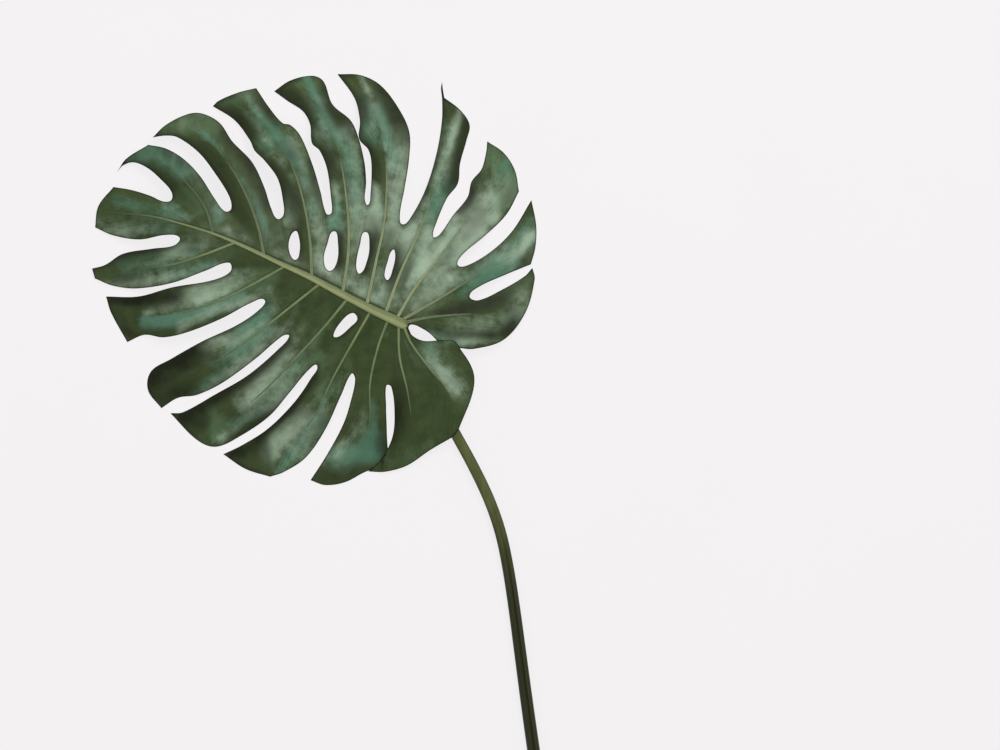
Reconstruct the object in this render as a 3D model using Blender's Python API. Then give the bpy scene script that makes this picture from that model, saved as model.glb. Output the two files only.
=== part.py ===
# Monstera leaf, as picked: a slit and holed blade lying face up on a surface, on its cut petiole.
#
# The blade is drawn on a sheet of 1000 by 750 mm, in millimetres from the sheet's top left corner, x to the
# right and y down. The sheet is then laid on the surface: its right is +X, its top +Y, and +Z is up.
# The blade's height over the surface follows a rule: an arch over the midrib, valleys between the veins,
# ripples along each finger, and tips that lie flat where they reach the surface.

import math

import bmesh
import bpy
import numpy as np
from mathutils import Vector
from mathutils.geometry import delaunay_2d_cdt, interpolate_bezier

MM = 0.001
# The point of the sheet that becomes the origin: the middle of the leaf and its stalk.
SHEET_ORIGIN = (319.7, 440.1)

# The blade, in millimetres.
BLADE_THICKNESS = 0.9
OUTLINE_STEP = 7.5
LATTICE_SPACING = 11.5
VEIN_STEP = 9.0
HOLE_STEP = 5.0

# The midrib and the side veins, in millimetres.
MIDRIB_HALF_WIDTH = 6.5
MIDRIB_TIP_HALF_WIDTH = 1.2
MIDRIB_RISE = 1.3
MIDRIB_DEPTH = 6.0
VEIN_HALF_WIDTH = 2.0
VEIN_DEPTH = 1.6

# The arch of the blade, in millimetres: the midrib's height along its length, from the hub to the tip.
MIDRIB_HEIGHTS = [(0.0, 27.0), (0.15, 33.0), (0.4, 37.0), (0.65, 32.0), (0.85, 19.0), (1.0, 7.0)]
FOLD = 9.0
FOLD_REACH = 48.0
DROOP = 32.0
DROOP_REACH = 205.0
DROOP_POWER = 2.3
PLEAT = 0.09
PLEAT_FROM = 4.0
PLEAT_TO = 26.0
CURL_REACH = 14.0
FREE_FROM = 55.0
FREE_TO = 95.0
PARTED_FROM = 82.0
PARTED_TO = 112.0
RESTING_BAND = 4.0

# The petiole, in millimetres. Its knee is the thicker stretch under the hub.
PETIOLE_TOP_RADIUS = 5.0
PETIOLE_END_RADIUS = 6.6
KNEE_RADIUS = 6.3
KNEE_LENGTH = 62.0
KNEE_BEND = 8.0
KNEE_STEPS = 5
KNEE_LIFT = 0.6
PETIOLE_STEP = 17.0
PETIOLE_SIDES = 14
GROOVE_DEPTH = 0.16
GROOVE_HALF_ANGLE = 0.42
REST_FLAT_DEPTH = 0.35
SEAT_GAP = 0.3
HUB = (400.0, 323.0)
HUB_PAD_RADIUS = 10.5
HUB_THICKNESS = 8.0
DRAPE_RISE = 4.0
DRAPE_REACH = 26.0

# The blade's edge, clockwise from the tip lobe. Each stretch is a smooth curve, and a corner joins two.
OUTLINE = [
    # Tip lobe to the first upper finger
    [(112.5, 186.5), (131, 189.7), (150, 195.6), (163, 201.3), (171, 200), (171, 191.5), (160, 178.8),
     (147, 167.8), (133, 162), (122, 165), (116, 172)],
    [(116, 172), (125, 158.5), (147.5, 144.3)],
    # First to second upper finger
    [(147.5, 144.3), (165, 148), (183, 158.5), (200, 176), (215, 199), (225, 211.3), (231.2, 209),
     (229, 196), (214, 172), (198, 152), (177, 137), (165, 135.3), (152, 137)],
    # Second to third upper finger
    [(152, 137), (166, 124), (188, 113.2), (202, 113), (219, 122.3), (232, 141), (252, 162), (264, 186.5),
     (271.5, 209), (277.5, 219), (283.5, 215), (283, 201), (277.5, 178.5), (264, 160), (254.5, 150.5),
     (249.5, 140), (234, 119.7), (212, 105.5)],
    [(212, 105.5), (218, 100), (238, 91.7), (255.5, 87.3)],
    # Third to fourth upper finger
    [(255.5, 87.3), (268, 106), (282, 122.5), (290, 124.6), (300, 135.2), (312, 163.5), (320.3, 191),
     (326.5, 214), (331.5, 213), (331, 198), (326.8, 168.5), (319.5, 150.5), (311.8, 143), (309.7, 124),
     (302.5, 110.8), (287, 100.3), (273.5, 90.5)],
    # Fourth to fifth upper finger
    [(273.5, 90.5), (290, 79.6), (312, 75), (323, 80.5), (332, 103.5), (350, 119.5), (357, 133.5),
     (364, 160.5), (366, 182), (364.8, 199), (368, 205), (370.4, 194), (371.3, 165), (368.5, 150),
     (361, 139), (359.4, 118), (354, 97.3), (337, 73.3)],
    # Fifth to sixth upper finger
    [(337, 73.3), (360, 74.3), (380, 84.3), (398, 107), (409, 131), (409, 157), (404.5, 188),
     (399.8, 215), (402.5, 224.3), (411.5, 216), (426, 187.5), (436.5, 152.5), (441.7, 120),
     (441.9, 98), (440.8, 87.5), (441.9, 81)],
    [(441.9, 81), (442.8, 89), (444.2, 97)],
    # Sixth to seventh upper finger
    [(444.2, 97), (460, 109.2), (469.5, 124), (466.5, 139.5), (460, 163), (457.7, 183), (447, 197.5),
     (437, 220.5), (433, 236.5), (439, 235), (453, 215), (467.5, 196.5), (471.5, 181), (481.5, 168.5),
     (486.2, 151), (487.2, 140.7)],
    [(487.2, 140.7), (504, 152.5), (515, 170), (519, 191)],
    # Seventh to eighth upper finger
    [(519, 191), (506.5, 214), (484, 236.3), (463, 254), (457.5, 264.5), (466, 265.7), (490, 252),
     (512, 231), (531.5, 199.5)],
    [(531.5, 199.5), (536.3, 225), (535.5, 247), (531, 264)],
    # Eighth upper finger to the upper base lobe
    [(531, 264), (506, 274.3), (479, 286.7), (469.5, 296), (478, 300.2), (503, 289), (525, 275.7),
     (532.5, 267.5)],
    [(532.5, 267.5), (534.8, 279), (525.5, 312.5), (504, 339.5), (474, 348.8), (461.5, 346.5),
     (452, 339.2), (437.5, 338.6)],
    # The notch over the petiole, and the lower base lobe
    [(437.5, 338.6), (424, 329.5), (410.3, 324.8), (409.6, 332.6), (423, 340.7), (447, 340.8),
     (461, 350.5), (473.5, 372.5), (472.5, 393.5), (459, 428.5)],
    [(459, 428.5), (452, 437.5)],
    [(452, 437.5), (430, 450.3), (407, 465.7), (385, 472), (368, 471.8)],
    # Lower base lobe to the sixth lower finger
    [(368, 471.8), (382.5, 457), (392.5, 436), (394.3, 410), (391, 386.5), (386.3, 385.5), (386, 407),
     (385.8, 438), (379, 456), (366.3, 470)],
    [(366.3, 470), (346, 482), (325, 485.4), (310, 480.5)],
    # Sixth to fifth lower finger
    [(310, 480.5), (327, 454), (343.5, 423), (351, 399.5), (355, 379), (351.5, 373.6), (341.5, 394),
     (325, 429.5), (305, 458), (283, 472.4), (269.5, 477)],
    [(269.5, 477), (245, 469.3), (222.5, 454.4)],
    # Fifth to fourth lower finger
    [(222.5, 454.4), (241, 445.5), (267, 429), (294, 402.3), (311, 378), (317, 365.5), (308, 370.5),
     (289, 393), (269, 416), (240, 436), (215, 447), (196, 440), (169.5, 413.3)],
    # Fourth to third lower finger
    [(169.5, 413.3), (182, 412.3), (214, 394.7), (248, 375), (279, 348.5), (289.3, 336), (283, 335.7),
     (255, 359), (222, 382.8), (196, 395), (177, 398), (160.5, 408.3)],
    # Third to second lower finger
    [(160.5, 408.3), (147, 390), (150, 371.5), (170, 359), (202, 341.3), (237, 325), (259, 310),
     (264.7, 300), (252, 302.5), (222, 318.3), (187, 332.2), (163, 337.3), (143.5, 334.8),
     (126.3, 342)],
    [(126.3, 342), (110, 312.5), (105, 296.3)],
    # Second to first lower finger
    [(105, 296.3), (138, 296.2), (172, 287.2), (212, 280.3), (230.5, 271.5), (229, 262.7),
     (205, 271), (172, 282.8), (136, 288.3), (112, 285.5), (94, 278.3)],
    [(94, 278.3), (91, 268.3)],
    # First lower finger to the tip lobe
    [(91, 268.3), (104, 264.7), (122, 253.6), (152, 248.5), (174, 245.3), (179.5, 237.5), (165, 235),
     (139, 239.3), (112, 235), (94, 227)],
    [(94, 227), (97.5, 205.5), (112.5, 186.5)],
]

# The holes between the veins, each a smooth closed curve.
HOLES = [
    [(295.5, 231), (289.5, 240), (290, 253), (296, 260), (300, 250), (299, 237)],
    [(334, 231.3), (327.5, 244), (324, 260), (329.5, 271), (337, 262), (338, 243)],
    [(365.5, 232), (360, 245), (356.3, 266), (360, 273.6), (367, 261), (369.4, 245)],
    [(393, 249.5), (387.5, 262), (384.6, 276), (388, 280), (393, 268), (395.2, 256)],
    [(352.5, 313), (341, 322), (333.4, 336), (339, 336.5), (351, 326.5), (357.5, 319)],
]

# The midrib from the hub to the tip, and the side veins from the midrib outwards. Each side vein leads one
# finger: ripple is its height, length and phase, tip is how far its end rises, and left and right are the
# slope and the curl of its two halves.
MIDRIB = [(404, 324.5), (372, 308.5), (340, 292), (308, 275), (280, 262.5), (248, 248), (215, 234.3),
          (180, 223.3), (150, 216), (94, 211)]
VEINS = {
    "tip": {"path": MIDRIB, "ripple": (1.5, 90, 0.0), "left": (-0.05, -0.10), "right": (-0.05, -0.08),
            "tip": -3},
    "upper_1": {"path": [(213, 233), (207, 212), (196, 194), (178, 175), (160, 161), (143, 155), (128, 158)],
                "ripple": (2.0, 75, 0.3), "left": (-0.16, -0.04), "right": (-0.03, -0.12), "tip": -4},
    "upper_2": {"path": [(264, 254.5), (258.5, 228), (247, 197), (231, 168), (208, 142), (160, 130)],
                "ripple": (2.0, 80, 0.1), "left": (-0.20, -0.04), "right": (-0.04, -0.14), "tip": 2},
    "upper_3": {"path": [(312, 276), (310, 240), (303, 200), (290, 162), (268, 130), (236, 95)],
                "ripple": (4.5, 78, 0.55), "left": (-0.18, -0.03), "right": (-0.05, -0.14), "tip": -6},
    "upper_4": {"path": [(343, 292), (348.5, 250), (347, 205), (338, 152), (319, 107), (300, 77)],
                "ripple": (4.5, 82, 0.3), "left": (-0.18, -0.03), "right": (-0.05, -0.14), "tip": -4},
    "upper_5": {"path": [(367, 304), (376, 262), (385, 215), (385, 155), (371, 103), (354, 75)],
                "ripple": (3.0, 90, 0.1), "left": (-0.16, -0.03), "right": (-0.06, -0.12), "tip": 3},
    "upper_6": {"path": [(385, 313), (400, 272), (418, 232), (438, 176), (451, 130), (452, 104)],
                "ripple": (2.0, 95, 0.6), "left": (0.02, -0.04), "right": (-0.22, -0.16), "tip": 6},
    "upper_7": {"path": [(397, 318), (415, 288), (440, 256), (468, 218), (492, 184), (503, 155)],
                "ripple": (3.5, 100, 0.2), "left": (-0.06, -0.05), "right": (0.0, -0.06), "tip": 0},
    "upper_8": {"path": [(402, 320), (418, 311), (442, 297), (470, 279), (505, 253), (533, 222)],
                "ripple": (2.0, 90, 0.5), "left": (-0.02, -0.06), "right": (-0.06, -0.10), "tip": -4},
    "upper_9": {"path": [(405, 322.5), (430, 317.3), (458, 314.5), (490, 313), (526, 303)],
                "ripple": (1.5, 90, 0.3), "left": (-0.06, -0.02), "right": (-0.02, -0.07), "tip": -2},
    "lower_8": {"path": [(404, 327), (411, 343), (430, 369), (449, 394), (456, 430)],
                "ripple": (0.0, 90, 0.0), "left": (-0.10, -0.10), "right": (-0.02, 0.0), "tip": 0},
    "lower_7": {"path": [(398, 325), (399, 357), (407, 392), (411, 425), (409, 464)],
                "ripple": (0.0, 90, 0.0), "left": (0.0, 0.0), "right": (-0.02, -0.02), "tip": 0},
    "lower_6": {"path": [(388, 320), (378, 347), (370, 383), (368.5, 425), (345, 482)],
                "ripple": (2.0, 90, 0.2), "left": (-0.10, -0.06), "right": (-0.02, -0.08), "tip": -4},
    "lower_5": {"path": [(370, 311), (351, 344), (332, 378), (314, 415), (266, 475)],
                "ripple": (2.0, 95, 0.1), "left": (-0.10, -0.10), "right": (-0.04, -0.08), "tip": -5},
    "lower_4": {"path": [(346, 299), (320, 330), (293, 359), (258, 394), (198, 437)],
                "ripple": (2.0, 95, 0.0), "left": (-0.10, -0.12), "right": (-0.04, -0.09), "tip": -6},
    "lower_3": {"path": [(318, 284), (290, 306), (262, 328), (222, 356), (152, 392)],
                "ripple": (2.0, 95, 0.0), "left": (-0.10, -0.12), "right": (-0.04, -0.09), "tip": -4},
    "lower_2": {"path": [(284, 266), (258, 280.5), (225, 297), (180, 312), (114, 321)],
                "ripple": (2.5, 95, 0.9), "left": (-0.08, -0.12), "right": (-0.02, -0.12), "tip": -2},
    "lower_1": {"path": [(235, 243), (205, 254.5), (170, 265), (130, 269), (92, 273)],
                "ripple": (1.5, 80, 0.2), "left": (-0.06, -0.10), "right": (-0.04, -0.10), "tip": 3},
}

# The petiole's middle line on the sheet, from under the hub to the cut end.
PETIOLE = [(400.5, 325), (402.5, 331), (409, 344), (422, 371), (438, 402), (455.5, 434), (474, 468),
           (489.5, 501), (500.5, 533), (508, 568), (514.5, 610), (520.5, 655), (526.5, 700),
           (533.5, 750), (542, 806)]


def clear_scene():
    for obj in list(bpy.data.objects):
        bpy.data.objects.remove(obj, do_unlink=True)


def from_sheet(points):
    """Sheet millimetres to millimetres from the origin, +Y up the sheet."""
    points = np.asarray(points, float)
    return (points - SHEET_ORIGIN) * (1, -1)


def smoothstep(low, high, values):
    share = np.clip((values - low) / (high - low), 0, 1)
    return share * share * (3 - 2 * share)


def curve_through(points, step, closed=False):
    """A smooth curve through the points, as points about one step apart. Its last point is left out."""
    count = len(points)
    corners = [Vector(p) for p in points]
    tangents = []
    for i, corner in enumerate(corners):
        before = corners[(i - 1) % count] if closed or i > 0 else corner
        after = corners[(i + 1) % count] if closed or i < count - 1 else corner
        tangents.append((after - before).normalized())
    path = []
    for i in range(count if closed else count - 1):
        start, end = corners[i], corners[(i + 1) % count]
        reach = (end - start).length / 3
        pieces = max(1, round(3 * reach / step))
        path += interpolate_bezier(start, start + tangents[i] * reach,
                                   end - tangents[(i + 1) % count] * reach, end, pieces + 1)[:-1]
    return np.array([point[:2] for point in path])


def open_curve(points, step):
    """The same curve with its last point."""
    return np.vstack([curve_through(points, step), points[-1]])


def measure_to_path(points, path):
    """Each point's distance to the path, how far along the path that is, and its side: 1 left, -1 right."""
    best = np.full(len(points), np.inf)
    along = np.zeros(len(points))
    side = np.ones(len(points))
    done = 0.0
    for start, end in zip(path[:-1], path[1:]):
        run = end - start
        length = math.hypot(*run)
        share = np.clip((points - start) @ run / length**2, 0, 1)
        offset = points - start - share[:, None] * run
        distance = np.hypot(offset[:, 0], offset[:, 1])
        nearer = distance < best
        best = np.where(nearer, distance, best)
        along = np.where(nearer, done + share * length, along)
        turn = run[0] * offset[:, 1] - run[1] * offset[:, 0]
        side = np.where(nearer, np.where(turn >= 0, 1.0, -1.0), side)
        done += length
    return best, along, side


def path_length(path):
    return float(np.hypot(*np.diff(path, axis=0).T).sum())


def inside(points, loop):
    """Which points lie within a closed loop, by counting the edges to the right of each."""
    x, y = points[:, 0, None], points[:, 1, None]
    x1, y1 = loop.T
    x2, y2 = np.roll(loop, -1, axis=0).T
    rise = np.where(y2 == y1, 1e-9, y2 - y1)
    crossed = ((y1 > y) != (y2 > y)) & (x < (x2 - x1) * (y - y1) / rise + x1)
    return crossed.sum(axis=1) % 2 == 1


def vein_paths():
    return {name: open_curve(from_sheet(vein["path"]), VEIN_STEP) for name, vein in VEINS.items()}


def blade_heights(points, paths, petiole_path):
    """The height of the blade's upper face over the surface, in millimetres, at points from the origin."""
    names = list(paths)
    measures = [measure_to_path(points, paths[name]) for name in names]
    distance, along, side = (np.array(part) for part in zip(*measures))
    order = np.argsort(distance, axis=0)
    columns = np.arange(len(points))
    first, second = order[0], order[1]
    near, next_near = distance[first, columns], distance[second, columns]
    spacing = near + next_near + 1e-6
    across = near / spacing

    # The arch over the midrib, and the fall from it to the fingers' tips.
    rib_share = along[0] / path_length(paths["tip"])
    from_rib = distance[0]
    arch = np.interp(rib_share, *zip(*MIDRIB_HEIGHTS))
    arch -= FOLD * (1 - np.exp(-from_rib / FOLD_REACH))
    arch -= DROOP * (from_rib / DROOP_REACH) ** DROOP_POWER

    # Where the fingers join, veins run on low ridges. A parted finger's halves slope and curl on their own.
    core = paths["tip"][: int(0.72 * len(paths["tip"]))]
    from_core = measure_to_path(points, core)[0]
    free = smoothstep(FREE_FROM, FREE_TO, from_core)
    parted = smoothstep(PARTED_FROM, PARTED_TO, from_core)
    valley = -PLEAT * spacing * np.sin(math.pi * across) ** 2 * smoothstep(PLEAT_FROM, PLEAT_TO, from_rib)
    halves = np.array([[VEINS[name][half] for name in names] for half in ("right", "left")])
    slope, curl = halves[(side[first, columns] > 0).astype(int), first].T
    section = slope * near + curl * near**2 / CURL_REACH
    pleat = valley * (1 - parted) + section * parted

    # Each finger's own ripple and tip, shared with its neighbour where the two still join.
    own = np.zeros((len(names), len(points)))
    for i, name in enumerate(names):
        height, length, phase = VEINS[name]["ripple"]
        ripple = height * np.sin(2 * math.pi * (along[i] / length + phase))
        tip = VEINS[name]["tip"] * smoothstep(0.6, 1.0, along[i] / path_length(paths[name]))
        own[i] = free * ripple * (0.4 + 1.2 * across * parted) + parted * tip
    shared = across * (1 - parted)
    fingers = own[first, columns] * (1 - shared) + own[second, columns] * shared

    # The lower base lobe drapes over the petiole.
    from_petiole = measure_to_path(points, petiole_path)[0]
    drape = DRAPE_RISE * np.exp(-((from_petiole / DRAPE_REACH) ** 2)) * smoothstep(20, 70, from_core)

    raised = arch + pleat + fingers + drape - BLADE_THICKNESS
    band = RESTING_BAND
    resting = np.where(raised > band, raised, np.where(raised < -band, 0, (raised + band) ** 2 / (4 * band)))
    return resting + BLADE_THICKNESS


def rib_widths(rib_share):
    return MIDRIB_HALF_WIDTH + (MIDRIB_TIP_HALF_WIDTH - MIDRIB_HALF_WIDTH) * rib_share**0.7


def rib_relief(points, paths):
    """How far the veins stand out: the midrib's rise on the upper face, and all veins' depth below."""
    distance, along, _ = measure_to_path(points, paths["tip"])
    share = along / path_length(paths["tip"])
    body = np.clip(1 - (distance / rib_widths(share)) ** 2, 0, 1)
    fade = 1 - 0.85 * share
    rise = MIDRIB_RISE * fade * body
    depth = MIDRIB_DEPTH * fade * body
    for name, path in paths.items():
        if name == "tip":
            continue
        distance, along, _ = measure_to_path(points, path)
        share = along / path_length(path)
        body = np.clip(1 - (distance / VEIN_HALF_WIDTH) ** 2, 0, 1)
        depth = np.maximum(depth, VEIN_DEPTH * (1 - 0.8 * share) * body)
    return rise, depth


def blade_points(outline, holes, paths):
    """The points that the blade's triangles join: its edges, rows along the veins, and a lattice between."""
    loops = [outline, *holes]
    rows = [paths["tip"][1:-1]]
    rib = open_curve(from_sheet(MIDRIB), VEIN_STEP)
    direction = np.gradient(rib, axis=0)
    direction /= np.hypot(*direction.T)[:, None]
    sideways = np.stack([-direction[:, 1], direction[:, 0]], axis=1)
    share = np.linspace(0, 1, len(rib))
    for sign in (-1, 1):
        rows.append((rib + sign * rib_widths(share)[:, None] * sideways)[2:-2])
    taken = np.vstack(rows)
    for name, path in paths.items():
        if name == "tip":
            continue
        row = path[1:-1]
        apart = np.array([np.hypot(*(taken - point).T).min() > 3.0 for point in row])
        taken = np.vstack([taken, row[apart]])

    low, high = outline.min(axis=0), outline.max(axis=0)
    row_step = LATTICE_SPACING * math.sqrt(3) / 2
    lattice = [
        (low[0] + (column + 0.5 * (line % 2)) * LATTICE_SPACING, low[1] + line * row_step)
        for line in range(int((high[1] - low[1]) / row_step) + 1)
        for column in range(int((high[0] - low[0]) / LATTICE_SPACING) + 1)
    ]
    lattice = np.array(lattice)
    from_taken = np.array([np.hypot(*(taken - point).T).min() for point in lattice])
    lattice = lattice[from_taken > 0.6 * LATTICE_SPACING]
    spots = np.vstack([taken, lattice])
    kept = inside(spots, outline)
    for hole in holes:
        kept &= ~inside(spots, hole)
    clear = np.full(len(spots), np.inf)
    for loop in loops:
        clear = np.minimum(clear, measure_to_path(spots, np.vstack([loop, loop[:1]]))[0])
    is_lattice = np.arange(len(spots)) >= len(taken)
    kept &= clear > np.where(is_lattice, 0.5 * LATTICE_SPACING, 2.2)
    return spots[kept]


def triangles_between(loops, spots):
    """The points and the triangles of the sheet inside the first loop and outside the others."""
    points = np.vstack([*loops, spots])
    edges, start = [], 0
    for loop in loops:
        edges += [(start + i, start + (i + 1) % len(loop)) for i in range(len(loop))]
        start += len(loop)
    made = delaunay_2d_cdt([Vector(p) for p in points], edges, [], 0, 1e-6)
    points = np.array([tuple(p) for p in made[0]])
    triangles = np.array([tuple(face) for face in made[2]])
    middles = points[triangles].mean(axis=1)
    kept = inside(middles, loops[0])
    for hole in loops[1:]:
        kept &= ~inside(middles, hole)
    return points, triangles[kept]


def petiole_line():
    """The petiole's middle line from the origin, how far along each point is, and its radius and height."""
    line = open_curve(from_sheet(PETIOLE), PETIOLE_STEP)
    steps = np.hypot(*np.diff(line, axis=0).T)
    run = np.concatenate([[0], np.cumsum(steps)])
    radius = np.interp(run, [0, run[-1]], [PETIOLE_TOP_RADIUS, PETIOLE_END_RADIUS])
    knee = 1 - smoothstep(0.55 * KNEE_LENGTH, KNEE_LENGTH, run)
    radius = radius + (KNEE_RADIUS - radius) * knee
    return line, run, radius


def make_blade(collection, material):
    outline = np.vstack([curve_through(from_sheet(run), OUTLINE_STEP) for run in OUTLINE])
    holes = [curve_through(from_sheet(hole), HOLE_STEP, closed=True) for hole in HOLES]
    paths = vein_paths()
    points, triangles = triangles_between([outline, *holes], blade_points(outline, holes, paths))
    height = blade_heights(points, paths, petiole_line()[0])
    rise, depth = rib_relief(points, paths)
    mesh = bpy.data.meshes.new("blade")
    mesh.from_pydata(np.column_stack([points, height]) * MM, [], triangles.tolist())

    # The sheet becomes a body: its copy is lifted by the blade's thickness, measured square to the surface.
    sheet = bmesh.new()
    sheet.from_mesh(mesh)
    bmesh.ops.recalc_face_normals(sheet, faces=sheet.faces)
    if sum(face.normal.z for face in sheet.faces) < 0:
        bmesh.ops.reverse_faces(sheet, faces=sheet.faces)
    sheet.normal_update()
    sheet.verts.ensure_lookup_table()
    upright = np.clip([abs(vert.normal.z) for vert in sheet.verts], 0.45, 1)
    from_hub = np.hypot(*(points - from_sheet(HUB)).T)
    pad = height[np.argmin(from_hub)] - HUB_THICKNESS
    below = np.maximum(height - BLADE_THICKNESS / upright - depth, 0)
    near_hub = from_hub < 3 * HUB_PAD_RADIUS
    below = np.where(near_hub, np.maximum(below, pad), below)
    below = np.where(from_hub < HUB_PAD_RADIUS, pad, below)
    top = height + rise
    lifted = bmesh.ops.extrude_face_region(sheet, geom=sheet.faces[:], use_keep_orig=True)
    sheet.verts.ensure_lookup_table()
    count = len(points)
    where = {tuple(np.round(vert.co.xy, 7)): i for i, vert in enumerate(sheet.verts[:count])}
    for vert in (item for item in lifted["geom"] if isinstance(item, bmesh.types.BMVert)):
        vert.co.z = top[where[tuple(np.round(vert.co.xy, 7))]] * MM
    for i, vert in enumerate(sheet.verts[:count]):
        vert.co.z = below[i] * MM
    bmesh.ops.triangulate(sheet, faces=[face for face in sheet.faces if len(face.verts) == 4])
    bmesh.ops.recalc_face_normals(sheet, faces=sheet.faces)
    sheet.to_mesh(mesh)
    sheet.free()
    mesh.materials.append(material)
    mesh.shade_smooth()
    mesh.set_sharp_from_angle(angle=math.radians(50))
    blade = bpy.data.objects.new("blade", mesh)
    collection.objects.link(blade)
    return pad


def swept_tube(name, path, radii):
    """A grooved stalk along a path in millimetres, closed by a flat cap at each end."""
    path = np.asarray(path, float)
    steps = np.diff(path, axis=0)
    steps /= np.linalg.norm(steps, axis=1)[:, None]
    tangents = np.vstack([steps[:1], steps[:-1] + steps[1:], steps[-1:]])
    tangents /= np.linalg.norm(tangents, axis=1)[:, None]
    body = bmesh.new()
    rings = []
    for centre, tangent, radius in zip(path, tangents, radii):
        heading = petiole_heading(centre)
        across = np.array([heading[1], -heading[0], 0.0])
        over = np.cross(across, tangent)
        ring = []
        for i in range(PETIOLE_SIDES):
            angle = 2 * math.pi * (i + 0.5) / PETIOLE_SIDES
            offset = math.remainder(angle - math.pi / 2, 2 * math.pi)
            reach = radius * (1 - GROOVE_DEPTH * math.exp(-((offset / GROOVE_HALF_ANGLE) ** 2)))
            spot = centre + reach * (math.cos(angle) * across + math.sin(angle) * over)
            ring.append(body.verts.new(spot * MM))
        rings.append(ring)
    for ring, following in zip(rings[:-1], rings[1:]):
        for i in range(PETIOLE_SIDES):
            j = (i + 1) % PETIOLE_SIDES
            body.faces.new((ring[i], ring[j], following[j], following[i]))
    body.faces.new(rings[0])
    body.faces.new(rings[-1])
    bmesh.ops.triangulate(body, faces=[face for face in body.faces if len(face.verts) == 4])
    bmesh.ops.recalc_face_normals(body, faces=body.faces)
    mesh = bpy.data.meshes.new(name)
    body.to_mesh(mesh)
    body.free()
    return mesh


def petiole_heading(centre):
    """The level direction in which the petiole runs, away from the hub, at a point of its line."""
    line = petiole_line()[0]
    i = int(np.argmin(np.hypot(*(line - centre[:2]).T)))
    run = line[min(i + 1, len(line) - 1)] - line[max(i - 1, 0)]
    return run / np.hypot(*run)


def make_petiole(collection, helpers, material, pad):
    line, run, radius = petiole_line()
    lying = radius - REST_FLAT_DEPTH
    bend = [(line[0][0], line[0][1], pad - SEAT_GAP, KNEE_RADIUS)]
    hub, heading = line[0], line[1] - line[0]
    heading /= np.hypot(*heading)
    low = KNEE_RADIUS - REST_FLAT_DEPTH + KNEE_LIFT
    for i in range(KNEE_STEPS + 1):
        angle = 0.5 * math.pi * i / KNEE_STEPS
        ahead = KNEE_BEND * (1 - math.cos(angle))
        bend.append((*(hub + ahead * heading), low + KNEE_BEND * (1 - math.sin(angle)), KNEE_RADIUS))
    settle = 1 - smoothstep(KNEE_BEND, KNEE_LENGTH, run)
    path = bend + [
        (*at, height + (low - height) * lift, size)
        for at, height, size, lift, done in zip(line, lying, radius, settle, run) if done > 1.6 * KNEE_BEND
    ]
    mesh = swept_tube("petiole", [point[:3] for point in path], [point[3] for point in path])
    mesh.materials.append(material)
    mesh.shade_smooth()
    mesh.set_sharp_from_angle(angle=math.radians(40))
    petiole = bpy.data.objects.new("petiole", mesh)
    collection.objects.link(petiole)

    # The stalk lies on a narrow flat: what would reach below the surface is cut away.
    mesh = bpy.data.meshes.new("petiole_rest_cutter")
    block = bmesh.new()
    bmesh.ops.create_cube(block, size=1)
    bmesh.ops.scale(block, vec=(1.2, 1.6, 0.1), verts=block.verts)
    bmesh.ops.translate(block, vec=(0, 0, -0.05), verts=block.verts)
    block.to_mesh(mesh)
    block.free()
    ground = bpy.data.objects.new("petiole_rest_cutter", mesh)
    ground.hide_render = True
    ground.display_type = "WIRE"
    helpers.objects.link(ground)
    cut = petiole.modifiers.new("rest_flat", "BOOLEAN")
    cut.operation = "DIFFERENCE"
    cut.object = ground


def plant_material(name, colour, roughness):
    material = bpy.data.materials.new(name)
    material.use_nodes = True
    shader = material.node_tree.nodes["Principled BSDF"]
    shader.inputs["Base Color"].default_value = (*colour, 1)
    shader.inputs["Roughness"].default_value = roughness
    shader.inputs["Metallic"].default_value = 0
    material.diffuse_color = (*colour, 1)
    return material


def main():
    clear_scene()
    leaf = bpy.data.collections.new("monstera_leaf")
    helpers = bpy.data.collections.new("cutters_and_guides")
    for collection in (leaf, helpers):
        bpy.context.scene.collection.children.link(collection)
    blade_green = plant_material("blade_green", (0.045, 0.085, 0.035), 0.38)
    stalk_green = plant_material("stalk_green", (0.11, 0.13, 0.045), 0.5)
    pad = make_blade(leaf, blade_green)
    make_petiole(leaf, helpers, stalk_green, pad)


main()
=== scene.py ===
import math
import bmesh
import bpy
import numpy as np
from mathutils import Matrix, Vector
from mathutils.geometry import delaunay_2d_cdt, interpolate_bezier
from mathutils.kdtree import KDTree


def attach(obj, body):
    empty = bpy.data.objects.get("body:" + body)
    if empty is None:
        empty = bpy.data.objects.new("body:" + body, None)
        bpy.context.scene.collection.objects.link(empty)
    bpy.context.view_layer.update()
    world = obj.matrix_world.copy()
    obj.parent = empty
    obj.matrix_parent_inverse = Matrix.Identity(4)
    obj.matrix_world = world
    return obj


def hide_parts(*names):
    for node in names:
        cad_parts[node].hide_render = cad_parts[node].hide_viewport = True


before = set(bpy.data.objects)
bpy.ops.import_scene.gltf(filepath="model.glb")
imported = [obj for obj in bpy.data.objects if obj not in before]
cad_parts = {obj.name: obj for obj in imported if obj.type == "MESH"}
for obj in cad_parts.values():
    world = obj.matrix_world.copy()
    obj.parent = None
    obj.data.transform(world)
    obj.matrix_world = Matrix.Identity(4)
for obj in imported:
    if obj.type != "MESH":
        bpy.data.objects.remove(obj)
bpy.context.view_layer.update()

# The leaf is drawn on a sheet, in millimetres from its top left corner, x right and y down. The sheet's
# point sheetOrigin lies at the frame's origin, its right is +X and its top +Y.
sheetOrigin = (319.7, 440.1)
mm = 0.001


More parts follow.
